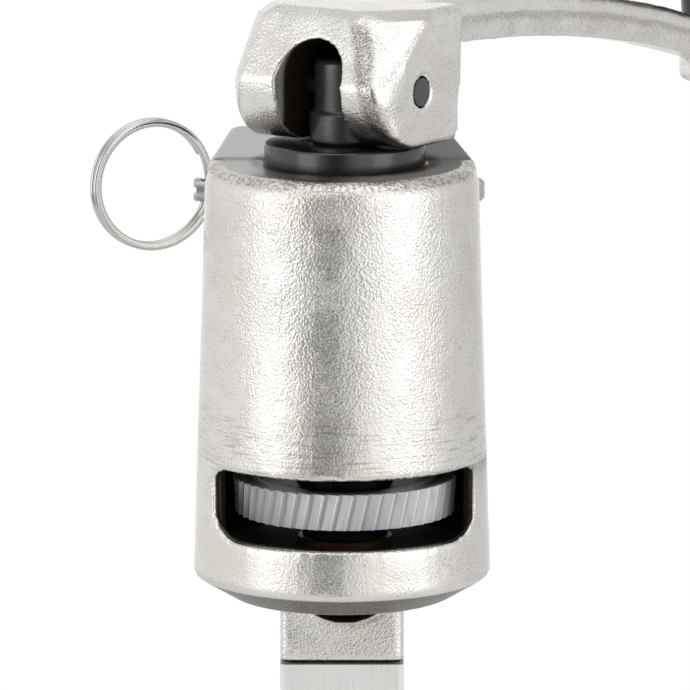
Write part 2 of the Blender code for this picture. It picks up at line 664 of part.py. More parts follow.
def make_sleeve(crank):
    """The black flanged sleeve: its flange carries the lever's cams."""
    inner = SHAFT_RADIUS + RUN_GAP
    rim = FLANGE_RADIUS - FLANGE_EDGE
    profile = [(rim, FLANGE_TOP_Z), (FLANGE_RADIUS, FLANGE_TOP_Z - FLANGE_EDGE),
               (FLANGE_RADIUS, FLANGE_FOOT_Z), (SLEEVE_RADIUS, FLANGE_FOOT_Z),
               (SLEEVE_RADIUS, SLEEVE_FOOT_Z), (inner, SLEEVE_FOOT_Z), (inner, FLANGE_TOP_Z)]
    sleeve = add_part("flanged_sleeve", moved(turned(profile, MIDDLE_STEPS), shift(z=-TOP_Z)),
                      "black_plastic", crank)
    way_top = TOP_Z - SLEEVE_KEY_START + CAM_RISE + GAP
    way_foot = SLEEVE_FOOT_Z - GAP
    way = key_box(way_top - way_foot, way_foot, GAP, GAP, KEY_RISE + GAP)
    mark = moved(box((-FLANGE_MARK / 2.0, -FLANGE_RADIUS - GAP, FLANGE_FOOT_Z - GAP),
                     (FLANGE_MARK / 2.0, -FLANGE_RADIUS + FLANGE_MARK, FLANGE_TOP_Z + GAP)),
                 turn(FLANGE_MARK_ANGLE, "Z"))
    cut(sleeve, add_cutter("sleeve_keyway", moved(way, shift(z=-TOP_Z)), crank),
        add_cutter("flange_mark", moved(mark, shift(z=-TOP_Z)), crank))


def make_shaft(spindle):
    """The turned shaft with its cross hole, two key seats and a clip groove."""
    top = PIN_Z + SHAFT_ABOVE_PIN
    boss_top = PIN_Z - BOSS_BELOW_PIN
    boss_foot = FLANGE_TOP_Z + GAP
    end = UNDERSIDE_Z - JOURNAL_END_DROP
    profile = [(0.0, top), (SHAFT_RADIUS - SHAFT_CHAMFER, top), (SHAFT_RADIUS, top - SHAFT_CHAMFER),
               (SHAFT_RADIUS, boss_top), (BOSS_RADIUS, boss_top - SHAFT_CHAMFER),
               (BOSS_RADIUS, boss_foot), (SHAFT_RADIUS, boss_foot),
               (SHAFT_RADIUS, CLIP_TOP_Z + GAP),
               (CLIP_GROOVE_RADIUS, CLIP_TOP_Z + GAP), (CLIP_GROOVE_RADIUS, CLIP_FOOT_Z - GAP),
               (JOURNAL_RADIUS, CLIP_FOOT_Z - GAP), (JOURNAL_RADIUS, UNDERSIDE_Z + GAP),
               (PILOT_RADIUS, UNDERSIDE_Z), (PILOT_RADIUS, end + SHAFT_CHAMFER),
               (PILOT_RADIUS - SHAFT_CHAMFER, end), (0.0, end)]
    shaft = add_part("crank_shaft", moved(turned(profile, MIDDLE_STEPS), shift(z=-PIN_Z)),
                     "black_oxide", spindle)
    hole = moved(cylinder(CROSS_PIN_RADIUS + RUN_GAP, -2.0 * BOSS_RADIUS, 2.0 * BOSS_RADIUS),
                 turn(90, "X"), Matrix.Rotation(LEVER_YAW, 4, "Z"))
    wheel_key_foot = WHEEL_FOOT_Z + (WHEEL_THICKNESS - WHEEL_KEY_LENGTH) / 2.0
    sleeve_key_foot = TOP_Z - SLEEVE_KEY_START - SLEEVE_KEY_LENGTH
    seats = []
    for name, length, foot in (("wheel", WHEEL_KEY_LENGTH, wheel_key_foot),
                               ("sleeve", SLEEVE_KEY_LENGTH, sleeve_key_foot)):
        seat = key_box(length + 2.0 * GAP, foot - GAP, GAP, KEY_SINK + GAP, GAP)
        seats.append(add_cutter(name + "_key_seat", moved(seat, shift(z=-PIN_Z)), spindle))
        key = key_box(length, foot, 0.0, KEY_SINK, KEY_RISE)
        add_part(name + "_key", moved(key, shift(z=-PIN_Z)), "bright_steel", spindle)
    cut(shaft, add_cutter("cross_hole", hole, spindle), *seats)


def make_wheel(spindle):
    """The drive wheel: slanted saw teeth round a dished disc, with a long hub."""
    outline = []
    pitch = 2.0 * math.pi / WHEEL_TEETH
    root = 1.0 - WHEEL_TOOTH_DEPTH / WHEEL_TOP_RADIUS
    for tooth in range(WHEEL_TEETH):
        outline.append((tooth * pitch, 1.0))
        outline.append(((tooth + WHEEL_TOOTH_STEP_SHARE) * pitch, root))
    rings = []
    for share in (0.0, 0.5, 1.0):
        radius = WHEEL_FOOT_RADIUS + share * (WHEEL_TOP_RADIUS - WHEEL_FOOT_RADIUS)
        height = WHEEL_FOOT_Z + share * WHEEL_THICKNESS - PIN_Z
        lead = share * WHEEL_TWIST
        rings.append([(radius * scale * math.cos(angle + lead),
                       radius * scale * math.sin(angle + lead), height)
                      for angle, scale in outline])
    wheel = add_part("drive_wheel", loft(rings), "wheel_steel", spindle, WHEEL_SMOOTH_ANGLE)
    rim = WHEEL_TOP_Z + GAP - PIN_Z
    dish_foot = WHEEL_TOP_Z - WHEEL_DISH_DEPTH - PIN_Z
    hub = cylinder(WHEEL_HUB_RADIUS, HUB_FOOT_Z - PIN_Z, dish_foot, MIDDLE_STEPS)
    join(wheel, add_cutter("wheel_hub", hub, spindle))
    dish = [(WHEEL_DISH_RADIUS, rim), (WHEEL_DISH_RADIUS, dish_foot),
            (WHEEL_HUB_RADIUS, dish_foot), (WHEEL_HUB_RADIUS, rim)]
    bore = cylinder(SHAFT_RADIUS + RUN_GAP, HUB_FOOT_Z - STEM_HEIGHT - PIN_Z, rim, MIDDLE_STEPS)
    way = key_box(WHEEL_TOP_Z - HUB_FOOT_Z + STEM_HEIGHT, HUB_FOOT_Z - STEM_HEIGHT / 2.0, GAP,
                  GAP, KEY_RISE + GAP)
    cut(wheel, add_cutter("wheel_dish", turned(dish, MIDDLE_STEPS), spindle),
        add_cutter("wheel_bore", bore, spindle),
        add_cutter("wheel_keyway", moved(way, shift(z=-PIN_Z)), spindle))


def make_clip(spindle):
    """The open ring in the shaft's groove that carries the wheel."""
    inner = CLIP_GROOVE_RADIUS + RUN_GAP
    profile = [(CLIP_RADIUS, CLIP_TOP_Z - PIN_Z), (CLIP_RADIUS, CLIP_FOOT_Z - PIN_Z),
               (inner, CLIP_FOOT_Z - PIN_Z), (inner, CLIP_TOP_Z - PIN_Z)]
    clip = add_part("wheel_clip", turned(profile, SMALL_STEPS), "bright_steel", spindle)
    mouth = box((-CLIP_MOUTH / 2.0, 0.0, CLIP_FOOT_Z - STEM_HEIGHT - PIN_Z),
                (CLIP_MOUTH / 2.0, 2.0 * CLIP_RADIUS, CLIP_TOP_Z + GAP - PIN_Z))
    cut(clip, add_cutter("clip_mouth", mouth, spindle))


def make_spring(crank):
    """The coil between the sleeve's lower end and the wheel."""
    height = SPRING_TOP_Z - SPRING_FOOT_Z
    count = int(SPRING_TURNS * SPRING_POINTS)
    points = []
    for i in range(count + 1):
        angle = 2.0 * math.pi * i / SPRING_POINTS
        points.append((SPRING_RADIUS * math.cos(angle), SPRING_RADIUS * math.sin(angle),
                       SPRING_FOOT_Z + height * i / count - TOP_Z))
    gap = least_self_gap(points, SPRING_WIRE_RADIUS, SPRING_POINTS // 2)
    print("return spring: least gap to itself %.2f mm" % (gap / MM))
    coil = wire(points, SPRING_WIRE_RADIUS, SPRING_WIRE_RADIUS)
    add_part("return_spring", coil, "bright_steel", crank)


# ---- Lever ----------------------------------------------------------------------
def cam_arc():
    """The lobe's outline: its reach below the pin grows evenly as the lever rises."""
    points = []
    for step in range(CAM_STEPS + 1):
        angle = math.pi / 2.0 * step / CAM_STEPS
        reach = CAM_REST + CAM_SLOPE * angle
        points.append((-reach * math.sin(angle) - CAM_SLOPE * math.cos(angle),
                       -reach * math.cos(angle) + CAM_SLOPE * math.sin(angle)))
    return points


def fork_sections():
    """Level sections of the fork: the cam outline in front, corner facets that widen upward."""
    front = [*cam_arc(),
             (-FORK_FRONT_TOP - FORK_TOP_EDGE / 2.0, FORK_TOP - FORK_TOP_EDGE),
             (-FORK_FRONT_TOP + FORK_TOP_EDGE, FORK_TOP)]
    sections = []
    for x, z in front:
        share = (z + CAM_REST) / (FORK_TOP + CAM_REST)
        left = FORK_FACET_FOOT + share * (FORK_FACET_LEFT - FORK_FACET_FOOT)
        right = FORK_FACET_FOOT + share * share * (FORK_FACET_RIGHT - FORK_FACET_FOOT)
        half = FORK_HALF_WIDTH - (FORK_TOP_EDGE if z == FORK_TOP else 0.0)
        heel = FORK_HEEL * max(0.0, 1.0 - (z + CAM_REST) / FORK_HEEL)
        back = FORK_BACK - (1.0 - share) * FORK_BACK_LEAN - heel
        sections.append([(back, -half, z), (back, half, z), (x + left, half, z),
                         (x, half - left, z), (x, right - half, z), (x + right, -half, z)])
    return sections


def arm_height(run):
    """Height of the arm's underside over the cross pin."""
    return ARM_UNDERSIDE - (run - ARM_CREST) ** 2 / (2.0 * ARM_CURVE_RADIUS)


def arm_section(run, width, height):
    """An arm section: flat on top, rounded shoulders, sides drawn in to the underside."""
    low = arm_height(run)
    lean = math.atan((ARM_CREST - run) / ARM_CURVE_RADIUS)
    left = [(-across, share) for across, share in ARM_PROFILE]
    ring = [*left, *reversed(ARM_PROFILE)]
    return [(run - math.sin(lean) * share * height, across * width / 2.0,
             low + math.cos(lean) * share * height) for across, share in ring]


def make_lever(lever):
    """The cast fork, arm and eye. Here +X runs along the arm from the cross pin."""
    handle = add_part("crank_lever", loft(fork_sections()), "cast_nickel", lever)

    sections = []
    for i in range(ARM_SECTIONS + 1):
        share = i / ARM_SECTIONS
        run = ARM_ROOT + share * (ARM_LENGTH - ARM_ROOT)
        width = ARM_START_WIDTH + share * (ARM_END_WIDTH - ARM_START_WIDTH)
        height = ARM_START_HEIGHT + share * (ARM_END_HEIGHT - ARM_START_HEIGHT)
        sections.append(arm_section(run, width, height))
    eye_low = arm_height(ARM_LENGTH) - (EYE_HEIGHT - ARM_END_HEIGHT) / 2.0
    eye_high = eye_low + EYE_HEIGHT
    eye = [(0.0, eye_high), (EYE_RADIUS - EYE_EDGE, eye_high), (EYE_RADIUS, eye_high - EYE_EDGE),
           (EYE_RADIUS, eye_low + EYE_EDGE), (EYE_RADIUS - EYE_EDGE, eye_low), (0.0, eye_low)]
    join(handle, add_cutter("lever_arm", loft(sections), lever),
         add_cutter("lever_eye", moved(turned(eye, SMALL_STEPS), shift(x=ARM_LENGTH)), lever))

    arch_centre = SLOT_ARCH_TOP - SLOT_HALF_WIDTH
    arch = [(SLOT_HALF_WIDTH, -2.0 * CAM_REST),
            *arc((0.0, arch_centre), SLOT_HALF_WIDTH, 0.0, math.pi),
            (-SLOT_HALF_WIDTH, -2.0 * CAM_REST)]
    depth = SLOT_BACK + 2.0 * FORK_BACK
    slot = moved(plate(arch, depth), turn(90, "X"), turn(90, "Z"),
                 shift(x=SLOT_BACK - depth / 2.0))
    pin_bore = moved(cylinder(CROSS_PIN_RADIUS + RUN_GAP, -2.0 * FORK_HALF_WIDTH,
                              2.0 * FORK_HALF_WIDTH), turn(90, "X"))
    eye_bore = moved(cylinder(BOLT_THREAD_RADIUS + RUN_GAP, eye_low - EYE_HEIGHT,
                              eye_high + EYE_HEIGHT), shift(x=ARM_LENGTH))
    cut(handle, add_cutter("fork_slot", slot, lever), add_cutter("lever_pin_bore", pin_bore, lever),
        add_cutter("eye_bore", eye_bore, lever))
    reach = FORK_HALF_WIDTH - GAP
    pin = moved(cylinder(CROSS_PIN_RADIUS, -reach, reach), turn(90, "X"))
    add_part("cross_pin", pin, "black_oxide", lever)
    return eye_low, eye_high


# ---- Grip ---------------------------------------------------------------------
def eased(share):
    """A share of a run, level where the run starts and where it ends."""
    return (1.0 - math.cos(math.pi * share)) / 2.0


def make_grip(lever, grip, eye_low, eye_high):
    """The turning grip on its shoulder bolt. The grip's pivot is at the eye's upper face."""
    washer_top = GAP + GRIP_WASHER_THICKNESS
    foot = washer_top + GAP
    top = foot + GRIP_HEIGHT
    belly = foot + GRIP_BELLY_SHARE * GRIP_HEIGHT
    seat = top - BOLT_HEAD_SINK
    outer = []
    for i in range(GRIP_STEPS + 1):
        share = i / GRIP_STEPS
        swell = (GRIP_BELLY_RADIUS - GRIP_TOP_RADIUS) * math.sin(math.pi / 2.0 * share)
        outer.append((GRIP_TOP_RADIUS + swell, top + (belly - top) * eased(share)))
    for i in range(1, GRIP_STEPS + 1):
        share = i / GRIP_STEPS
        waist = (GRIP_FOOT_RADIUS - GRIP_BELLY_RADIUS) * eased(share)
        outer.append((GRIP_BELLY_RADIUS + waist, belly + (foot - belly) * share))
    well = BOLT_HEAD_RADIUS + GAP
    inner = BOLT_SHOULDER_RADIUS + RUN_GAP
    profile = [*outer, (inner, foot), (inner, seat), (well, seat), (well, top)]
    add_part("crank_grip", turned(profile, MIDDLE_STEPS), "black_plastic", grip)
    cap_profile = [(0.0, top), (well - RUN_GAP, top), (well - RUN_GAP, top - CAP_THICKNESS),
                   (0.0, top - CAP_THICKNESS)]
    add_part("grip_cap", turned(cap_profile, SMALL_STEPS), "black_plastic", grip)

    head_foot = eye_high + seat + GAP
    end = eye_low - 2.0 * GAP - NUT_HEIGHT - GAP
    head_top = head_foot + BOLT_HEAD_HEIGHT
    head_radius = BOLT_HEAD_RADIUS - RUN_GAP
    bolt = [(0.0, head_top), (head_radius, head_top), (head_radius, head_foot),
            (BOLT_SHOULDER_RADIUS, head_foot), (BOLT_SHOULDER_RADIUS, eye_high + GAP),
            (BOLT_THREAD_RADIUS, eye_high + GAP), (BOLT_THREAD_RADIUS, end), (0.0, end)]
    add_part("grip_bolt", moved(turned(bolt, SMALL_STEPS), shift(x=ARM_LENGTH)),
             "bright_steel", lever)
    washer = [(GRIP_WASHER_RADIUS, eye_high + washer_top), (GRIP_WASHER_RADIUS, eye_high + GAP),
              (inner, eye_high + GAP), (inner, eye_high + washer_top)]
    add_part("grip_washer", moved(turned(washer, SMALL_STEPS), shift(x=ARM_LENGTH)),
             "bright_steel", lever)
    nut_mesh = cylinder(NUT_ACROSS_FLATS / math.sqrt(3.0), eye_low - GAP - NUT_HEIGHT,
                        eye_low - GAP, 6)
    nut = add_part("grip_nut", moved(nut_mesh, shift(x=ARM_LENGTH)), "bright_steel", lever)
    bore = moved(cylinder(BOLT_THREAD_RADIUS + RUN_GAP, eye_low - 3.0 * NUT_HEIGHT,
                          eye_low + NUT_HEIGHT), shift(x=ARM_LENGTH))
    cut(nut, add_cutter("nut_bore", bore, lever))


# ---- Knife, release pin and ring -------------------------------------------------
def side_reach(y, back):
    """Half width of one side of the overhang, at a distance behind the crank axis."""
    share = (y - ARM_BLOCK_START) / (ARM_BLOCK_REACH - ARM_BLOCK_START)
    return ARM_BLOCK_HALF_FRONT + share * (back - ARM_BLOCK_HALF_FRONT)


def make_knife():
    """A square shank that thins to a pointed blade behind the wheel's edge."""
    tip = WALL_FOOT_Z + KNIFE_TIP_HEIGHT
    top = TOP_Z - KNIFE_SHANK_TOP
    back = KNIFE_FRONT_Y + KNIFE_SHANK_THICKNESS
    neck = KNIFE_FRONT_Y + KNIFE_THICKNESS
    side = [(KNIFE_FRONT_Y, top), (KNIFE_FRONT_Y, tip), (KNIFE_FRONT_Y + KNIFE_EDGE, tip),
            (neck, tip + KNIFE_POINT), (neck, CEILING_Z - KNIFE_NECK),
            (back, CEILING_Z - KNIFE_NECK / 2.0), (back, top)]
    blank = moved(plate(side, KNIFE_WIDTH), turn(90, "X"), turn(90, "Z"))
    knife = add_part("knife", blank, "bright_steel")
    half = KNIFE_WIDTH / 2.0
    wide = half + GAP
    face = rounded([(wide, top + GAP, 0.0), (-wide, top + GAP, 0.0),
                    (-wide, tip + KNIFE_POINT, 0.0), (KNIFE_TIP_SHIFT, tip, KNIFE_TIP_RADIUS),
                    (wide, tip + KNIFE_POINT, 0.0)])
    point = moved(plate(face, 2.0 * KNIFE_SHANK_THICKNESS), turn(90, "X"), shift(y=SHANK_Y))
    combine(knife, add_cutter("knife_point", point), "INTERSECT")
    bore = moved(cylinder(RELEASE_PIN_RADIUS + RUN_GAP, -2.0 * KNIFE_WIDTH, 2.0 * KNIFE_WIDTH),
                 turn(90, "Y"), shift(y=SHANK_Y, z=RELEASE_PIN_Z))
    cut(knife, add_cutter("knife_pin_bore", bore))


def make_release_pin(pull):
    """The pull pin: a screwdriver slot in its left end, and the ring's eye beside it."""
    side = side_reach(SHANK_Y, ARM_BLOCK_LEFT_BACK)
    left = -(side + RELEASE_PIN_LEFT)
    right = side_reach(SHANK_Y, ARM_BLOCK_RIGHT_BACK) + RELEASE_PIN_RIGHT
    profile = [(0.0, right), (RELEASE_PIN_RADIUS - PIN_NOSE, right),
               (RELEASE_PIN_RADIUS, right - PIN_NOSE), (RELEASE_PIN_RADIUS, left + PIN_EDGE),
               (RELEASE_PIN_RADIUS - PIN_EDGE, left), (0.0, left)]
    pin = add_part("release_pin", moved(turned(profile, SMALL_STEPS), turn(90, "Y")),
                   "bright_steel", pull)
    slot = box((left - GAP, -2.0 * RELEASE_PIN_RADIUS, -PIN_SLOT_WIDTH / 2.0),
               (left + PIN_SLOT_DEPTH, 2.0 * RELEASE_PIN_RADIUS, PIN_SLOT_WIDTH / 2.0))
    eye = moved(cylinder(RING_EYE_RADIUS, -2.0 * RELEASE_PIN_RADIUS, 2.0 * RELEASE_PIN_RADIUS,
                         FINE_STEPS), shift(x=-(side + RING_EYE_STANDOFF)))
    cut(pin, add_cutter("pin_slot", slot, pull), add_cutter("ring_eye", eye, pull))


def make_split_ring(swing):
    """A split ring of flat wire: two turns, one behind the other, through the pin's eye."""
    points = []
    count = int(RING_TURNS * RING_POINTS)
    for i in range(count + 1):
        turns = RING_TURNS * i / count
        angle = RING_START + 2.0 * math.pi * turns
        points.append((RING_RADIUS * (math.cos(angle) - 1.0), RING_RADIUS * math.sin(angle),
                       RING_PITCH * (turns - RING_TURNS / 2.0)))
    gap = least_self_gap(points, RING_WIRE_HALF_AXIAL, RING_POINTS // 2)
    print("split ring: least gap to itself %.2f mm" % (gap / MM))
    coil = wire(points, RING_WIRE_HALF_RADIAL, RING_WIRE_HALF_AXIAL)
    add_part("split_ring", moved(coil, turn(90, "X"), turn(RING_TILT, "Y")), "bright_steel",
             swing)


# ---- The object -----------------------------------------------------------------
make_bar()
make_head()
make_lower_bush()
make_knife()

crank_pivot = pivot("crank_pivot", (CRANK_SHIFT, 0.0, TOP_Z))
make_sleeve(crank_pivot)
make_spring(crank_pivot)

spindle_pivot = pivot("spindle_pivot", (0.0, 0.0, PIN_Z - TOP_Z), crank_pivot)
make_shaft(spindle_pivot)
make_wheel(spindle_pivot)
make_clip(spindle_pivot)

lever_pivot = pivot("lever_pivot", (0.0, 0.0, 0.0), spindle_pivot, LEVER_YAW)
eye_foot, eye_top = make_lever(lever_pivot)
grip_pivot = pivot("grip_pivot", (ARM_LENGTH, 0.0, eye_top), lever_pivot)
make_grip(lever_pivot, grip_pivot, eye_foot, eye_top)

pin_pivot = pivot("release_pin_pivot", (0.0, SHANK_Y, RELEASE_PIN_Z))
make_release_pin(pin_pivot)
ring_eye_x = -(side_reach(SHANK_Y, ARM_BLOCK_LEFT_BACK) + RING_EYE_STANDOFF)
ring_pivot = pivot("ring_pivot", (ring_eye_x, 0.0, 0.0), pin_pivot, RING_YAW)
make_split_ring(ring_pivot)
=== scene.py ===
"""Looks of a bench can opener's head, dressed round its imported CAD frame.

Metres, +Z up, -Y to the front where the window is, and the crank axis AXIS_X to the right
of Z. Every size in a dataclass below repeats the CAD source's value, so that a piece sits
where its node sits.
"""
import logging
import math
from dataclasses import dataclass
from enum import Enum

import bmesh
import bpy
import numpy as np
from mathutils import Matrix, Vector


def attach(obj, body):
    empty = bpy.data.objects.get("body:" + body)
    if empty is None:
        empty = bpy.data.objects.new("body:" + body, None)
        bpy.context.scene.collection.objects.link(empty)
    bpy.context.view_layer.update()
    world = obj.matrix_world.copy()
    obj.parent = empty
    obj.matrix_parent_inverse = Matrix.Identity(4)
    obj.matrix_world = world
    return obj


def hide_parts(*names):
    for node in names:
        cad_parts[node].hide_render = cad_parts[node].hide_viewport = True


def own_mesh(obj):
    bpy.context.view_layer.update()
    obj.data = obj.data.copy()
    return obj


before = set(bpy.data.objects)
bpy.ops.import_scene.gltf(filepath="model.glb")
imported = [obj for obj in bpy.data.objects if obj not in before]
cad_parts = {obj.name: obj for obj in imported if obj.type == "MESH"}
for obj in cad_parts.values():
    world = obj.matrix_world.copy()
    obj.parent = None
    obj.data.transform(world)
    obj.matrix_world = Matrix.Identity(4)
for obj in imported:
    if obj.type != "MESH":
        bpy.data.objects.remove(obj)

LOG = logging.getLogger("can_opener_head")
AXIS_X = 0.0006
Socket = bpy.types.NodeSocket
Colour = tuple[float, float, float]


class Zone(Enum):
    """Which surfaces of a casting keep the foundry skin, and where painted shade darkens it inside.
    """

    HEAD = "head"
    LEVER = "lever"


class Grain(Enum):
    """Direction of the fine lines on a ground or brushed steel piece."""

    UPRIGHT = (1.0, 1.0, 0.012)
    ACROSS = (0.02, 1.0, 1.0)
    ROUND = (1.0, 1.0, 1.0)


# ---- Shader trees ----------------------------------------------------------------
class Sheet:
    """One material's node tree, with a short method for each kind of node in use."""

    def __init__(self, name: str) -> None:
        """Start an empty tree with a Principled shader.

        Args:
            name: the material's name.
        """
        self.material = bpy.data.materials.new(name)
        self.material.use_nodes = True
        self.tree = self.material.node_tree
        self.shader = self.tree.nodes["Principled BSDF"]
        self.place = self.tree.nodes.new("ShaderNodeTexCoord").outputs["Object"]

    def node(self, kind: str, feeds: dict[str | int, object] | None = None,
             **settings: object) -> bpy.types.Node:
        """Add a node.

        Args:
            kind: the node type's identifier.
            feeds: input name or index to a socket to link, or a value to set.
            settings: attributes of the node.

        Returns:
            The new node.
        """
        made = self.tree.nodes.new(kind)
        for key, value in settings.items():
            setattr(made, key, value)
        for key, value in (feeds or {}).items():
            if isinstance(value, bpy.types.NodeSocket):
                self.tree.links.new(value, made.inputs[key])
            else:
                made.inputs[key].default_value = value
        return made

    def noise(self, scale: float, detail: float = 2.0, place: Socket | None = None,
              rough: float = 0.5) -> Socket:
        """Soft cloud noise from 0 to 1, with so many cycles in a metre."""
        feeds = {"Vector": place or self.place, "Scale": scale, "Detail": detail,
                 "Roughness": rough}
        return self.node("ShaderNodeTexNoise", feeds).outputs["Fac"]

    def cells(self, scale: float, smooth: float = 0.6, place: Socket | None = None) -> Socket:
        """Distance to the nearest of scattered points: small round dimples."""
        feeds = {"Vector": place or self.place, "Scale": scale, "Smoothness": smooth}
        return self.node("ShaderNodeTexVoronoi", feeds, feature="SMOOTH_F1").outputs["Distance"]

    def maths(self, operation: str, first: object, second: object = 0.0) -> Socket:
        """One arithmetic step between sockets or numbers."""
        return self.node("ShaderNodeMath", {0: first, 1: second}, operation=operation).outputs[0]

    def both(self, *shares: object) -> Socket:
        """The product of several shares."""
        product = shares[0]
        for share in shares[1:]:
            product = self.maths("MULTIPLY", product, share)
        return product

    def step(self, value: Socket, low: float, high: float, from_value: float = 0.0,
             to_value: float = 1.0) -> Socket:
        """A smooth step: from_value below low, to_value above high."""
        feeds = {"Value": value, "From Min": low, "From Max": high, "To Min": from_value,
                 "To Max": to_value}
        made = self.node("ShaderNodeMapRange", feeds, interpolation_type="SMOOTHSTEP")
        return made.outputs["Result"]

    def band(self, value: Socket, low: float, high: float, edge: float) -> Socket:
        """1 between two bounds and 0 outside them, with soft edges of a given width."""
        return self.both(self.step(value, low - edge, low),
                         self.step(value, high, high + edge, 1.0, 0.0))

    def mix(self, share: object, first: object, second: object) -> Socket:
        """Blend two colours by a share."""
        made = self.tree.nodes.new("ShaderNodeMix")
        made.data_type = "RGBA"
        for key, value in (("Factor_Float", share), ("A_Color", first), ("B_Color", second)):
            port = next(s for s in made.inputs if s.identifier == key)
            if isinstance(value, bpy.types.NodeSocket):
                self.tree.links.new(value, port)
            else:
                port.default_value = value if key == "Factor_Float" else (*value, 1.0)
        return next(s for s in made.outputs if s.identifier == "Result_Color")

    def stretched(self, scale: tuple[float, float, float]) -> Socket:
        """Object coordinates scaled, for a pattern with a direction."""
        feeds = {"Vector": self.place, "Scale": scale}
        return self.node("ShaderNodeMapping", feeds, vector_type="POINT").outputs["Vector"]

    def about_crank(self, yaw: float = 0.0) -> Socket:
        """Object coordinates measured from the crank axis, turned back by a yaw."""
        start = (-AXIS_X * math.cos(yaw), AXIS_X * math.sin(yaw), 0.0)
        feeds = {"Vector": self.place, "Location": start, "Rotation": (0.0, 0.0, -yaw)}
        return self.node("ShaderNodeMapping", feeds, vector_type="POINT").outputs["Vector"]

    def axes(self, place: Socket | None = None) -> tuple[Socket, Socket, Socket]:
        """The x, y and z of a place."""
        parts = self.node("ShaderNodeSeparateXYZ", {"Vector": place or self.place}).outputs
        return parts["X"], parts["Y"], parts["Z"]

    def reach(self, x: Socket, y: Socket) -> Socket:
        """Distance from an axis: the root of x squared plus y squared."""
        squares = self.maths("ADD", self.maths("MULTIPLY", x, x), self.maths("MULTIPLY", y, y))
        return self.maths("SQRT", squares)

    def relief(self, height: Socket, depth: float, strength: object = 1.0,
               under: Socket | None = None) -> Socket:
        """A bump from a height from 0 to 1.

        Args:
            height: the height field.
            depth: metres between height 0 and 1.
            strength: share of the bump that is used.
            under: normal of a bump that this one lies on.

        Returns:
            The bumped normal.
        """
        feeds = {"Height": height, "Distance": depth, "Strength": strength}
        if under is not None:
            feeds["Normal"] = under
        return self.node("ShaderNodeBump", feeds).outputs["Normal"]

    def finish(self, colour: object, roughness: object, metallic: object,
               normal: Socket | None = None, **extra: float) -> bpy.types.Material:
        """Wire the shader's main sockets; plain numbers are set on the sockets.

        Args:
            colour: a socket or an RGB triple.
            roughness: a socket or a number.
            metallic: a socket or a number.
            normal: the bumped normal.
            extra: other sockets' names, with _ for a space, and their numbers.

        Returns:
            The finished material.
        """
        feeds = (("Base Color", colour), ("Roughness", roughness), ("Metallic", metallic),
                 ("Normal", normal))
        for key, value in feeds:
            if isinstance(value, bpy.types.NodeSocket):
                self.tree.links.new(value, self.shader.inputs[key])
            elif value is not None:
                plain = (*value, 1.0) if key == "Base Color" else value
                self.shader.inputs[key].default_value = plain
        for key, value in extra.items():
            self.shader.inputs[key.replace("_", " ")].default_value = value
        return self.material


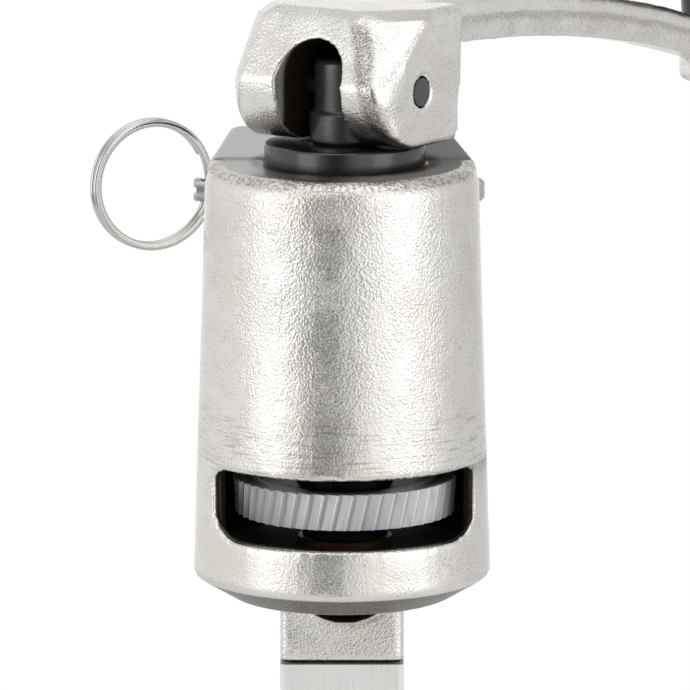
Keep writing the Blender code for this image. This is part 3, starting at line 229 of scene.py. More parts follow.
# ---- Finishes --------------------------------------------------------------------
@dataclass(frozen=True)
class CastNickel:
    """Nickel plate over a sand casting: bright and dimpled, worn at its edges, with painted shade
    inside and painted dark reflections on the lever's corner and the head's shoulder.
    """

    name: str
    zone: Zone
    plate: Colour = (0.90, 0.875, 0.84)
    warm: Colour = (0.84, 0.79, 0.73)
    pit: Colour = (0.26, 0.235, 0.21)
    # Painted shade colours: near black where shade falls inside the chamber, slot and seam, dark
    # grey on the window's cheeks.
    inside: Colour = (0.022, 0.017, 0.010)
    cheek: Colour = (0.075, 0.068, 0.060)
    # Lit and shaded copies of the milled top's grey: painted shade makes it darker to the right.
    faced_lit: Colour = (0.33, 0.325, 0.315)
    faced_shaded: Colour = (0.20, 0.197, 0.195)
    # Dark brown for dirt with a painted dark reflection on the head's front shoulder, and for the
    # blotches along the lever's foot.
    grime_and_shade: Colour = (0.12, 0.095, 0.07)
    dimple_scale: float = 1900.0
    dimple_depth: float = 0.00012
    grain_scale: float = 3000.0
    grain_depth: float = 0.00010
    roughness: float = 0.12

    def chamber(self, sheet: Sheet) -> tuple[Socket, Socket]:
        """Where painted shade darkens the head, which is left unplated there: the wheel's chamber,
        a small pocket below it, and the window's cheeks.
        """
        x, y, z = sheet.axes(sheet.about_crank())
        reach = sheet.reach(x, y)
        tall = sheet.band(z, 0.2225, 0.2478, 0.0006)
        deep = sheet.both(tall, sheet.step(reach, 0.0270, 0.0276, 1.0, 0.0))
        cheek = sheet.both(sheet.band(z, 0.2262, 0.2408, 0.0004),
                           sheet.step(y, 0.0, 0.002, 1.0, 0.0),
                           sheet.step(reach, 0.0281, 0.0287, 1.0, 0.0))
        pocket = sheet.both(sheet.band(z, 0.2086, 0.2120, 0.0002),
                            sheet.band(x, -0.0084, 0.0084, 0.0002),
                            sheet.band(y, -0.0119, 0.0119, 0.0002))
        return sheet.maths("MAXIMUM", deep, pocket), cheek

    def slot(self, sheet: Sheet) -> Socket:
        """Where painted shade darkens the lever, which is left unplated there: its arched slot."""
        along, across, z = sheet.axes(sheet.about_crank(LeverCasting.yaw))
        rise = sheet.maths("MAXIMUM", sheet.maths("SUBTRACT", z, LeverCasting.arch_centre), 0.0)
        near = sheet.step(sheet.reach(across, rise), 0.0077, 0.0081, 1.0, 0.0)
        front = sheet.step(along, -0.0128, -0.0100, 0.3, 1.0)
        back = sheet.step(along, 0.0096, 0.0102, 1.0, 0.0)
        return sheet.both(near, front, back)

    def corner(self, sheet: Sheet, grain: Socket) -> Socket:
        """Where a painted dark reflection runs down the lever: spots down the middle of its right
        front corner.
        """
        along, across, z = sheet.axes(sheet.about_crank(LeverCasting.yaw))
        s = sheet.maths("DIVIDE", sheet.maths("SUBTRACT", z, LeverCasting.foot),
                        LeverCasting.height)
        set_back = sheet.maths("MULTIPLY", sheet.maths("MULTIPLY", s, s), -0.009)
        side = sheet.maths("ADD", sheet.maths("ADD", across, LeverCasting.half - 0.0028), set_back)
        strip = sheet.both(sheet.band(side, -0.0011, 0.0011, 0.0016),
                           sheet.step(along, -0.0040, -0.0030, 1.0, 0.0),
                           sheet.band(s, 0.16, 0.86, 0.12))
        return sheet.both(strip, sheet.step(grain, 0.42, 0.58, 0.95, 0.30))

    def texture(self, sheet: Sheet, grain: Socket, keep: Socket) -> Socket:
        """The bumps: dimples, grain and a fine tooth, fullest on the upper half."""
        _, _, z = sheet.axes()
        patch = sheet.step(sheet.noise(110.0, 3.0), 0.36, 0.62, 0.6, 1.0)
        if self.zone is Zone.HEAD:
            tall = sheet.step(z, 0.236, 0.282, 0.50, 1.0)
            stem = sheet.step(z, 0.2112, 0.2130, 1.0, 0.0)
            tall = sheet.maths("MAXIMUM", tall, stem)
            share = sheet.both(patch, keep, tall)
        else:
            share = sheet.both(patch, keep, 0.7)
        normal = sheet.relief(sheet.cells(self.dimple_scale), self.dimple_depth, share)
        normal = sheet.relief(grain, self.grain_depth, share, normal)
        return sheet.relief(sheet.noise(5200.0, 2.0), 0.00002, keep, normal)

    def head_marks(self, sheet: Sheet, colour: Socket, grain: Socket) -> Socket:
        """Tool scratches over the window; dirt and a painted dark reflection on the front shoulder;
        a darker cone under the foot; a painted shadow along the seam.
        """
        x, y, z = sheet.axes(sheet.about_crank())
        reach = sheet.reach(x, y)
        lines = sheet.noise(2600.0, 3.0, sheet.stretched((0.05, 0.05, 1.0)), 0.6)
        rubbed = sheet.both(sheet.band(z, 0.2405, 0.2500, 0.004),
                            sheet.step(lines, 0.52, 0.66, 0.0, 0.45))
        colour = sheet.mix(rubbed, colour, self.pit)
        blotch = sheet.noise(1300.0, 5.0, rough=0.7)
        # Dirt and a painted dark reflection in blotches along the front shoulder.
        edge = sheet.band(z, HeadCasting.top - 0.0014, HeadCasting.top - 0.0003, 0.0009)
        shoulder = sheet.both(edge, sheet.step(blotch, 0.44, 0.60),
                              sheet.step(y, 0.0, 0.004, 1.0, 0.0))
        colour = sheet.mix(sheet.both(shoulder, 0.62), colour, self.grime_and_shade)
        # Darker on the cone below the head's foot.
        under = sheet.step(z, HeadCasting.foot - 0.0007, HeadCasting.foot - 0.0002, 1.0, 0.0)
        cone = sheet.both(under, sheet.step(reach, 0.0182, 0.0190))
        dull = sheet.mix(sheet.step(grain, 0.35, 0.62), (0.20, 0.19, 0.175), (0.13, 0.115, 0.095))
        colour = sheet.mix(cone, colour, dull)
        # Painted shadow: near black blotches along the seam at the casting's lower end.
        seam = sheet.both(sheet.step(z, 0.2008, 0.2011, 1.0, 0.0), sheet.step(blotch, 0.30, 0.42))
        return sheet.mix(seam, colour, self.inside)

    def faced(self, sheet: Sheet, colour: Socket) -> tuple[Socket, Socket, Socket]:
        """The milled top: grey and dull, with painted shade darker to the right, and a painted
        brown shadow line round the flange.
        """
        x, y, z = sheet.axes(sheet.about_crank())
        flat = sheet.step(z, HeadCasting.top - 0.00018, HeadCasting.top - 0.00006)
        # Painted shade: the milled top turns darker to the right.
        dull = sheet.step(x, -0.006, 0.014)
        colour = sheet.mix(flat, colour, sheet.mix(dull, self.faced_lit, self.faced_shaded))
        # Painted shadow: a thin brown line on the top round the flange's foot.
        edge = sheet.noise(700.0, 3.0)
        near = sheet.both(sheet.step(sheet.reach(x, y), 0.0176, 0.0200, 1.0, 0.0),
                          sheet.step(z, HeadCasting.top - 0.0014, HeadCasting.top - 0.0011),
                          sheet.step(edge, 0.30, 0.50, 0.4, 1.0))
        colour = sheet.mix(near, colour, (0.075, 0.052, 0.030))
        return colour, flat, sheet.both(flat, dull, 0.85)

    def build(self) -> bpy.types.Material:
        """The material: bumps, a plate with darker pits, then the marks of its zone."""
        sheet = Sheet(self.name)
        grain = sheet.noise(self.grain_scale, 4.0, rough=0.6)
        pits = sheet.both(sheet.step(grain, 0.34, 0.46, 1.0, 0.0),
                          sheet.step(sheet.noise(260.0, 3.0), 0.36, 0.6))
        colour = sheet.mix(sheet.both(pits, 0.7), self.plate, self.pit)
        slow = sheet.step(sheet.noise(60.0, 2.0), 0.35, 0.7, 0.0, 0.6)
        colour = sheet.mix(slow, colour, self.warm)
        roughness = sheet.step(grain, 0.3, 0.7, self.roughness, self.roughness + 0.10)
        if self.zone is Zone.LEVER:
            x, y, z = sheet.axes(sheet.about_crank())
            blotch = sheet.noise(240.0, 3.0)
            # Darker in blotches along the lever's foot, next to the flange.
            foot = sheet.both(sheet.step(z, 0.3046, 0.3056, 1.0, 0.0),
                              sheet.step(sheet.reach(x, y), 0.024, 0.028, 1.0, 0.0),
                              sheet.step(blotch, 0.34, 0.66))
            colour = sheet.mix(sheet.both(foot, 0.6), colour, self.grime_and_shade)
            # Painted dark reflection: spots of pit colour down the right front corner.
            colour = sheet.mix(self.corner(sheet, grain), colour, self.pit)
            # Painted shade: the arched slot near black.
            dark = self.slot(sheet)
            colour = sheet.mix(dark, colour, self.inside)
            roughness = sheet.maths("ADD", roughness, sheet.both(dark, 0.4))
            normal = self.texture(sheet, grain, sheet.maths("SUBTRACT", 1.0, sheet.both(dark, 0.5)))
            plated = sheet.maths("SUBTRACT", 1.0, dark)
            return sheet.finish(colour, roughness, plated, normal, Specular_IOR_Level=0.0)
        colour = self.head_marks(sheet, colour, grain)
        colour, flat, dull = self.faced(sheet, colour)
        # Painted shade: the chamber and pocket near black, the window's cheeks dark grey.
        dark, cheek = self.chamber(sheet)
        colour = sheet.mix(cheek, colour, self.cheek)
        colour = sheet.mix(dark, colour, self.inside)
        _, _, z = sheet.axes()
        rubbed = sheet.band(z, HeadCasting.foot, 0.2480, 0.024)
        roughness = sheet.maths("ADD", roughness, sheet.both(rubbed, 0.10))
        roughness = sheet.maths("ADD", roughness, sheet.both(flat, 0.12))
        roughness = sheet.maths("ADD", roughness, sheet.both(dark, 0.40))
        normal = self.texture(sheet, grain, sheet.maths("SUBTRACT", 1.0, flat))
        passes = sheet.noise(5200.0, 2.0, sheet.stretched((0.04, 1.0, 1.0)))
        normal = sheet.relief(passes, 0.00002, flat, normal)
        plated = sheet.maths("SUBTRACT", 1.0, sheet.maths("MAXIMUM", dark, dull))
        return sheet.finish(colour, roughness, plated, normal, Specular_IOR_Level=0.0)


@dataclass(frozen=True)
class GroundSteel:
    """Drawn or ground steel: fine lines along one direction, faint stains."""

    name: str
    colour: Colour
    roughness: float
    grain: Grain
    line_depth: float = 0.00002
    stain: float = 0.25
    speck: float = 0.22

    def build(self) -> bpy.types.Material:
        """The material: stretched noise for the lines, a slow noise for the stains."""
        sheet = Sheet(self.name)
        lines = sheet.noise(4200.0, 3.0, sheet.stretched(self.grain.value), 0.6)
        broad = sheet.noise(900.0, 2.0, sheet.stretched(self.grain.value))
        cloud = sheet.noise(70.0, 3.0)
        shade = sheet.maths("MULTIPLY", sheet.step(cloud, 0.35, 0.7), self.stain)
        dull = tuple(channel * 0.62 for channel in self.colour)
        colour = sheet.mix(shade, self.colour, dull)
        colour = sheet.mix(sheet.step(lines, 0.35, 0.6, self.speck, 0.0), colour, dull)
        roughness = sheet.step(lines, 0.3, 0.7, self.roughness * 0.8, self.roughness * 1.25)
        normal = sheet.relief(lines, self.line_depth)
        normal = sheet.relief(broad, self.line_depth * 2.0, 0.6, normal)
        return sheet.finish(colour, roughness, 1.0, normal)


@dataclass(frozen=True)
class ToothedSteel:
    """The drive wheel's dull machined steel, oily and dark round the hub."""

    name: str
    colour: Colour = (0.74, 0.74, 0.755)
    oil: Colour = (0.016, 0.014, 0.012)
    roughness: float = 0.40
    metallic: float = 0.30

    def build(self) -> bpy.types.Material:
        """The material: fine pitted grain on the teeth, a painted highlight along the tooth crests,
        painted shade in the tooth roots, near black inside the rim.
        """
        sheet = Sheet(self.name)
        x, y, z = sheet.axes(sheet.about_crank())
        reach = sheet.reach(x, y)
        grain = sheet.noise(2600.0, 4.0)
        smear = sheet.noise(500.0, 3.0, sheet.stretched((1.0, 1.0, 0.3)))
        oily = sheet.step(reach, 0.0192, 0.0208, 1.0, 0.0)
        dirt = sheet.maths("MULTIPLY", sheet.step(smear, 0.45, 0.7), 0.35)
        colour = sheet.mix(dirt, self.colour, (0.45, 0.45, 0.46))
        tall = (DriveWheel.top - DriveWheel.foot) / (DriveWheel.rim_top - DriveWheel.rim_foot)
        rise = sheet.maths("DIVIDE", sheet.maths("SUBTRACT", DriveWheel.top, z), tall)
        inset = sheet.maths("SUBTRACT", DriveWheel.rim_top, sheet.maths("ADD", reach, rise))
        # Painted highlight: white along each tooth's crest.
        edge = sheet.step(inset, 0.00003, 0.00016, 1.0, 0.0)
        # Painted shade: greyer in the tooth roots and inward of them.
        gap = sheet.step(inset, 0.00066, 0.00084)
        colour = sheet.mix(edge, colour, (1.0, 1.0, 1.0))
        colour = sheet.mix(sheet.both(gap, 0.55), colour, (0.30, 0.30, 0.31))
        colour = sheet.mix(oily, colour, self.oil)
        roughness = sheet.step(grain, 0.3, 0.7, self.roughness - 0.08, self.roughness + 0.10)
        bare = sheet.both(sheet.maths("SUBTRACT", 1.0, oily), self.metallic)
        return sheet.finish(colour, roughness, bare, sheet.relief(grain, 0.00004, 0.8),
                            Specular_IOR_Level=0.1)


@dataclass(frozen=True)
class DarkFinish:
    """Black oxide, moulded black plastic or oil-dark bronze: low sheen with worn grain."""

    name: str
    colour: Colour
    worn: Colour
    roughness: float
    metallic: float
    wear: float = 0.25
    specular: float = 0.5

    def build(self) -> bpy.types.Material:
        """The material: a fine grain, with smears where the surface is rubbed."""
        sheet = Sheet(self.name)
        grain = sheet.noise(2400.0, 4.0)
        smear = sheet.noise(160.0, 4.0, rough=0.6)
        rubbed = sheet.maths("MULTIPLY", sheet.step(smear, 0.5, 0.75), self.wear)
        colour = sheet.mix(rubbed, self.colour, self.worn)
        roughness = sheet.step(smear, 0.3, 0.7, self.roughness + 0.06, self.roughness - 0.06)
        return sheet.finish(colour, roughness, self.metallic, sheet.relief(grain, 0.00003, 0.6),
                            Specular_IOR_Level=self.specular)


# ---- Surfaces worked out as arrays ---------------------------------------------------
def mesh_of(name: str, points: np.ndarray, faces: np.ndarray) -> bpy.types.Mesh:
    """Put arrays into a mesh.

    Args:
        name: the mesh's name.
        points: (n, 3) places.
        faces: (m, 4) indices; a triangle repeats its last index.

    Returns:
        The mesh, smooth shaded, with sharp edges over 40 degrees.
    """
    mesh = bpy.data.meshes.new(name)
    corners = [row[:3] if row[2] == row[3] else row for row in faces.tolist()]
    mesh.from_pydata(points.tolist(), [], corners)
    mesh.validate()
    mesh.shade_smooth()
    mesh.set_sharp_from_angle(angle=math.radians(40.0))
    return mesh


def woven(rows: int, columns: int, closed_rows: bool) -> np.ndarray:
    """Quads of a grid whose columns close on themselves.

    Quad (i, j) joins points i*columns + j and its neighbours; the last column joins the
    first, and so does the last row when closed_rows is set.
    """
    last = rows if closed_rows else rows - 1
    i, j = np.meshgrid(np.arange(last), np.arange(columns), indexing="ij")
    far, side = (i + 1) % rows, (j + 1) % columns
    quads = [i * columns + j, i * columns + side, far * columns + side, far * columns + j]
    return np.stack(quads, -1).reshape(-1, 4)


def fan(first: int, columns: int, hub: int, flip: bool) -> np.ndarray:
    """Triangles from a ring of points to a hub point, as rows of four with the last repeated."""
    j = np.arange(columns)
    ring, side = first + j, first + (j + 1) % columns
    pair = (side, ring) if flip else (ring, side)
    return np.stack([pair[0], pair[1], np.full(columns, hub), np.full(columns, hub)], -1)


def softened(corners: list[tuple[float, float, float]], steps: int = 4) -> np.ndarray:
    """Round the corners of a closed outline.

    Corner P with neighbours A and B is replaced by steps + 1 points on an arc of its
    radius r that touches both sides: the arc's centre lies on the bisector, r divided by
    the sine of the half angle from P. Each row of corners is (across, along, radius).

    Returns:
        (n * (steps + 1), 2) points.
    """
    data = np.array(corners, float)
    here, radius = data[:, :2], data[:, 2:3]
    before = np.roll(here, 1, 0) - here
    after = np.roll(here, -1, 0) - here
    before /= np.linalg.norm(before, axis=1, keepdims=True)
    after /= np.linalg.norm(after, axis=1, keepdims=True)
    half = np.arccos(np.clip((before * after).sum(1, keepdims=True), -1.0, 1.0)) / 2.0
    middle = before + after
    middle /= np.maximum(np.linalg.norm(middle, axis=1, keepdims=True), 1e-9)
    centre = here + middle * radius / np.sin(half)
    start = here + before * radius / np.tan(half) - centre
    end = here + after * radius / np.tan(half) - centre
    share = np.linspace(0.0, 1.0, steps + 1)[None, :, None]
    spoke = start[:, None] * (1.0 - share) + end[:, None] * share
    spoke *= radius[:, None] / np.maximum(np.linalg.norm(spoke, axis=2, keepdims=True), 1e-12)
    return (centre[:, None] + spoke).reshape(-1, 2)


def turned(name: str, outline: np.ndarray, steps: int) -> bpy.types.Mesh:
    """Spin a closed outline of (radius, height) points about the crank axis.

    Point (i, j) is radius_i * (cos a_j, sin a_j) from the axis at height_i, with
    a_j = 2 pi j / steps.
    """
    angle = np.linspace(0.0, 2.0 * math.pi, steps, endpoint=False)
    x = AXIS_X + outline[:, :1] * np.cos(angle)
    y = outline[:, :1] * np.sin(angle)
    z = np.repeat(outline[:, 1:], steps, 1)
    points = np.stack([x, y, z], -1).reshape(-1, 3)
    return mesh_of(name, points, woven(len(outline), steps, True))


def carried(name: str, path: np.ndarray, across: np.ndarray, along: np.ndarray,
            section: np.ndarray) -> bpy.types.Mesh:
    """Carry a closed section along a path and close both ends.

    Point (i, j) is path_i + section_j0 * across_i + section_j1 * along_i.

    Args:
        name: the mesh's name.
        path: (n, 3) places of the section's middle.
        across: (n, 3) unit directions of the section's first coordinate.
        along: (n, 3) unit directions of its second.
        section: (m, 2) closed outline.

    Returns:
        The mesh.
    """
    rows, columns = len(path), len(section)
    skin = (path[:, None] + section[None, :, :1] * across[:, None]
            + section[None, :, 1:] * along[:, None])
    points = np.concatenate([skin.reshape(-1, 3), path[:1], path[-1:]])
    hub = rows * columns
    faces = np.concatenate([woven(rows, columns, False), fan(0, columns, hub, True),
                            fan((rows - 1) * columns, columns, hub + 1, False)])
    return mesh_of(name, points, faces)


def lattice(place: np.ndarray, seed: int) -> np.ndarray:
    """A repeatable number from -1 to 1 for each whole-number place: a sine's far digits."""
    key = place @ np.array([127.1, 311.7, 74.7]) + seed * 19.19
    return 2.0 * np.mod(np.sin(key) * 43758.5453, 1.0) - 1.0


def uneven(points: np.ndarray, cycles: float, seed: int) -> np.ndarray:
    """Smooth value noise at each point: the eight lattice numbers round it, blended by
    3t^2 - 2t^3 along each axis, with so many lattice cells in a metre."""
    scaled = points * cycles
    base = np.floor(scaled)
    t = scaled - base
    t = t * t * (3.0 - 2.0 * t)
    total = np.zeros(len(points))
    for corner in range(8):
        pick = np.array([corner >> 2, corner >> 1 & 1, corner & 1], float)
        share = np.prod(np.where(pick > 0.5, t, 1.0 - t), axis=1)
        total += share * lattice(base + pick, seed)
    return total


def skin_of(node: str, name: str, voxel: float, passes: int) -> bpy.types.Mesh:
    """A fine, soft-edged copy of a CAD node's surface: merged, remeshed and relaxed.

    Args:
        node: the CAD node whose surface is copied.
        name: the new mesh's name.
        voxel: edge length of the new faces.
        passes: how often each point moves half way to its neighbours' mean.

    Returns:
        The new mesh.
    """
    shape = bmesh.new()
    shape.from_mesh(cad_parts[node].data)
    bmesh.ops.remove_doubles(shape, verts=shape.verts, dist=0.000002)
    merged = bpy.data.meshes.new(name + "_merged")
    shape.to_mesh(merged)
    shape.free()
    holder = bpy.data.objects.new(name + "_merged", merged)
    bpy.context.scene.collection.objects.link(holder)
    remesh = holder.modifiers.new("remesh", "REMESH")
    remesh.mode = "VOXEL"
    remesh.voxel_size = voxel
    relax = holder.modifiers.new("relax", "SMOOTH")
    relax.factor = 0.5
    relax.iterations = passes
    bpy.context.view_layer.update()
    graph = bpy.context.evaluated_depsgraph_get()
    made = bpy.data.meshes.new_from_object(holder.evaluated_get(graph))
    made.name = name
    bpy.data.objects.remove(holder)
    bpy.data.meshes.remove(merged)
    return made


def places_of(mesh: bpy.types.Mesh) -> tuple[np.ndarray, np.ndarray]:
    """A mesh's points and their normals as (n, 3) arrays."""
    points = np.empty(len(mesh.vertices) * 3, np.float32)
    normals = np.empty(len(mesh.vertices) * 3, np.float32)
    mesh.vertices.foreach_get("co", points)
    mesh.vertex_normals.foreach_get("vector", normals)
    return points.reshape(-1, 3).astype(float), normals.reshape(-1, 3).astype(float)


def relaxed(mesh: bpy.types.Mesh, points: np.ndarray, share: np.ndarray,
            passes: int) -> np.ndarray:
    """Points drawn to the mean of their neighbours, each by half its share in every pass."""
    edges = np.empty(len(mesh.edges) * 2, np.int32)
    mesh.edges.foreach_get("vertices", edges)
    first, second = edges.reshape(-1, 2).T
    busy = (share[first] > 0.0) | (share[second] > 0.0)
    source = np.concatenate([first[busy], second[busy]])
    target = np.concatenate([second[busy], first[busy]])
    degree = np.maximum(np.bincount(target, minlength=len(points)), 1)[:, None]
    for _ in range(passes):
        total = np.stack([np.bincount(target, points[source, axis], len(points))
                          for axis in range(3)], -1)
        points = points + 0.5 * share[:, None] * (total / degree - points)
    return points


def put_piece(name: str, mesh: bpy.types.Mesh, material: bpy.types.Material, body: str,
              slot: str, *nodes: str) -> bpy.types.Object:
    """Make a scene object of a mesh, dress it, and let it ride and stand for CAD nodes."""
    mesh.materials.clear()
    mesh.materials.append(material)
    piece = bpy.data.objects.new(name, mesh)
    bpy.context.scene.collection.objects.link(piece)
    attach(piece, body)
    if nodes:
        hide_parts(*nodes)
    LOG.info("%s: %d points, rides on %s", name, len(mesh.vertices), body)
    return piece


def dress(material: bpy.types.Material, *nodes: str) -> None:
    """Give CAD nodes a material in place of the one they were packed with."""
    for node in nodes:
        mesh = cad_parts[node].data
        mesh.materials.clear()
        mesh.materials.append(material)
        LOG.info("%s: dressed as %s", node, material.name)


# ---- Sub-assemblies ------------------------------------------------------------------
@dataclass
class HeadCasting:
    """The cast head with its chamber, window, mouth and rear overhang."""

    top: float = 0.2996
    foot: float = 0.2169
    voxel: float = 0.00069
    relax: int = 4
    swell: float = 0.00005

    def skin(self) -> bpy.types.Mesh:
        """The head's surface, pushed in and out along its normals.

        The push is swell times (noise at 170 cycles + 0.6 noise at 400 cycles in a metre),
        and fades to nothing on the faced top and in the bores.
        """
        mesh = skin_of("head_casting", "head_skin", self.voxel, self.relax)
        points, normals = places_of(mesh)
        wave = uneven(points, 170.0, 1) + 0.6 * uneven(points, 400.0, 2)
        reach = np.hypot(points[:, 0] - AXIS_X, points[:, 1])
        outer = np.clip((reach - 0.0264) / 0.001, 0.0, 1.0)
        below = np.clip((self.top - 0.0006 - points[:, 2]) / 0.001, 0.0, 1.0)
        keep = outer * below
        points += normals * (self.swell * wave * keep)[:, None]
        mesh.vertices.foreach_set("co", points.astype(np.float32).ravel())
        mesh.update()
        mesh.shade_smooth()
        return mesh

    def build(self) -> None:
        """Stand the skin in for the casting."""
        metal = CastNickel("cast_nickel_head", Zone.HEAD).build()
        put_piece("head_skin", self.skin(), metal, "head", "cast_nickel", "head_casting")


@dataclass
class LeverCasting:
    """The cast fork, arm and eye of the crank lever, with its cross pin."""

    yaw: float = math.radians(57.0)
    arch_centre: float = 0.3178
    foot: float = 0.3042
    height: float = 0.0269
    half: float = 0.0184
    front: float = -0.0088
    voxel: float = 0.00056
    relax: int = 4
    corner_passes: int = 110
    swell: float = 0.00010

    def corner(self, points: np.ndarray) -> np.ndarray:
        """How much of the long rounding at the right front corner each point takes.

        With s the share of the fork's height, the corner stands at half - (1 + 9 s^2) mm to
        the right of the arm's line; the share is 1 within 2.5 mm of it and 0 past 5 mm.
        """
        x, y = points[:, 0] - AXIS_X, points[:, 1]
        along = x * math.cos(self.yaw) + y * math.sin(self.yaw)
        across = y * math.cos(self.yaw) - x * math.sin(self.yaw)
        s = (points[:, 2] - self.foot) / self.height
        away = np.hypot(along - self.front, across + self.half - 0.001 - 0.009 * s * s)
        near = np.clip((0.005 - away) / 0.0025, 0.0, 1.0)
        outside = np.clip((-0.0080 - across) / 0.0008, 0.0, 1.0)
        return near * outside * np.clip((s - 0.12) / 0.15, 0.0, 1.0)

    def skin(self) -> bpy.types.Mesh:
        """The lever's surface, pushed along its normals by swell times a noise of 190 and
        420 cycles in a metre, except under the cams."""
        mesh = skin_of("crank_lever", "lever_skin", self.voxel, self.relax)
        points, _ = places_of(mesh)
        points = relaxed(mesh, points, self.corner(points), self.corner_passes)
        mesh.vertices.foreach_set("co", points.astype(np.float32).ravel())
        mesh.update()
        points, normals = places_of(mesh)
        wave = uneven(points, 190.0, 3) + 0.6 * uneven(points, 420.0, 4)
        keep = np.clip((points[:, 2] - 0.3055) / 0.002, 0.0, 1.0)
        points += normals * (self.swell * wave * keep)[:, None]
        mesh.vertices.foreach_set("co", points.astype(np.float32).ravel())
        mesh.update()
        mesh.shade_smooth()
        return mesh

    def build(self) -> None:
        """Stand the skin in for the lever, and dress its pin."""
        metal = CastNickel("cast_nickel_lever", Zone.LEVER, (0.95, 0.93, 0.90)).build()
        put_piece("lever_skin", self.skin(), metal, "lever", "cast_nickel", "crank_lever")
        ends = DarkFinish("pin_end_steel", (0.14, 0.14, 0.14), (0.26, 0.26, 0.26), 0.42, 1.0)
        dress(ends.build(), "cross_pin")


@dataclass
class DriveWheel:
    """The drive wheel: a dished disc and hub with slanted saw teeth round the rim."""

    rim_top: float = 0.0224
    rim_foot: float = 0.0220
    top: float = 0.2365
    foot: float = 0.2292
    hub_foot: float = 0.2259
    hub: float = 0.0096
    bore: float = 0.00635
    dish: float = 0.0175
    dish_depth: float = 0.0016
    teeth: int = 48
    tooth_depth: float = 0.0009
    steep_share: float = 0.16
    twist: float = math.radians(4.2)
    samples: int = 14
    key_half: float = 0.0018
    key_reach: float = 0.0077

    def outline(self) -> tuple[np.ndarray, np.ndarray, np.ndarray]:
        """The closed section (radius, height), and each point's share of rim and of bore."""
        edge = 0.0002
        dish_foot = self.top - self.dish_depth
        corners = [(self.bore, self.hub_foot, 0.0), (self.hub, self.hub_foot, 0.0003),
                   (self.hub, self.foot, 0.0004), (self.rim_foot, self.foot, edge),
                   (self.rim_top, self.top, edge), (self.dish, self.top, 0.0003),
                   (self.dish, dish_foot, 0.0004), (self.hub, dish_foot, 0.0004),
                   (self.hub, self.top, 0.0003), (self.bore, self.top, 0.0)]
        points = softened([(r, z, max(rad, 0.00005)) for r, z, rad in corners], 2)
        low = (points[:, 1] - self.foot) / (self.top - self.foot)
        side = self.rim_foot + (self.rim_top - self.rim_foot) * low
        rim = np.clip(1.0 - (side - points[:, 0]) / 0.0006, 0.0, 1.0) * (low > -0.01)
        bore = (points[:, 0] < self.bore + 0.0001).astype(float)
        return points, rim, bore

    def mesh(self) -> bpy.types.Mesh:
        """The wheel as a function of angle and place on the section.

        Radius = section radius - depth * rim share * saw(angle), where the saw falls over
        the steep share of a pitch and rises over the rest. On the rim the angle itself runs
        ahead by the twist's share of the height, so the teeth lean. In the bore the radius
        opens to the key's flat slot at the front.
        """
        points, rim, bore = self.outline()
        count = self.teeth * self.samples
        angle = np.linspace(0.0, 2.0 * math.pi, count, endpoint=False)[None, :]
        height = points[:, 1:]
        lead = self.twist * rim[:, None] * (height - self.foot) / (self.top - self.foot)
        phase = np.mod(angle * self.teeth / (2.0 * math.pi), 1.0)
        saw = np.where(phase < self.steep_share, phase / self.steep_share,
                       (1.0 - phase) / (1.0 - self.steep_share))
        radius = points[:, :1] - self.tooth_depth * rim[:, None] * saw
        front = np.cos(angle + math.pi / 2.0)
        side = np.abs(np.sin(angle + math.pi / 2.0))
        slot = (front > 0.0) & (side * self.bore < self.key_half)
        way = np.minimum(self.key_reach / np.maximum(front, 0.1), 0.0082)
        radius = np.where((bore[:, None] > 0.5) & slot, way, radius)
        place = np.stack([AXIS_X + radius * np.cos(angle + lead), radius * np.sin(angle + lead),
                          np.broadcast_to(height, radius.shape)], -1)
        faces = woven(len(points), angle.size, True)
        return mesh_of("drive_wheel_teeth", place.reshape(-1, 3), faces)

    def build(self) -> None:
        """Stand the toothed wheel in for the CAD wheel."""
        steel = ToothedSteel("toothed_steel").build()
        put_piece("drive_wheel_teeth", self.mesh(), steel, "spindle", "wheel_steel", "drive_wheel")


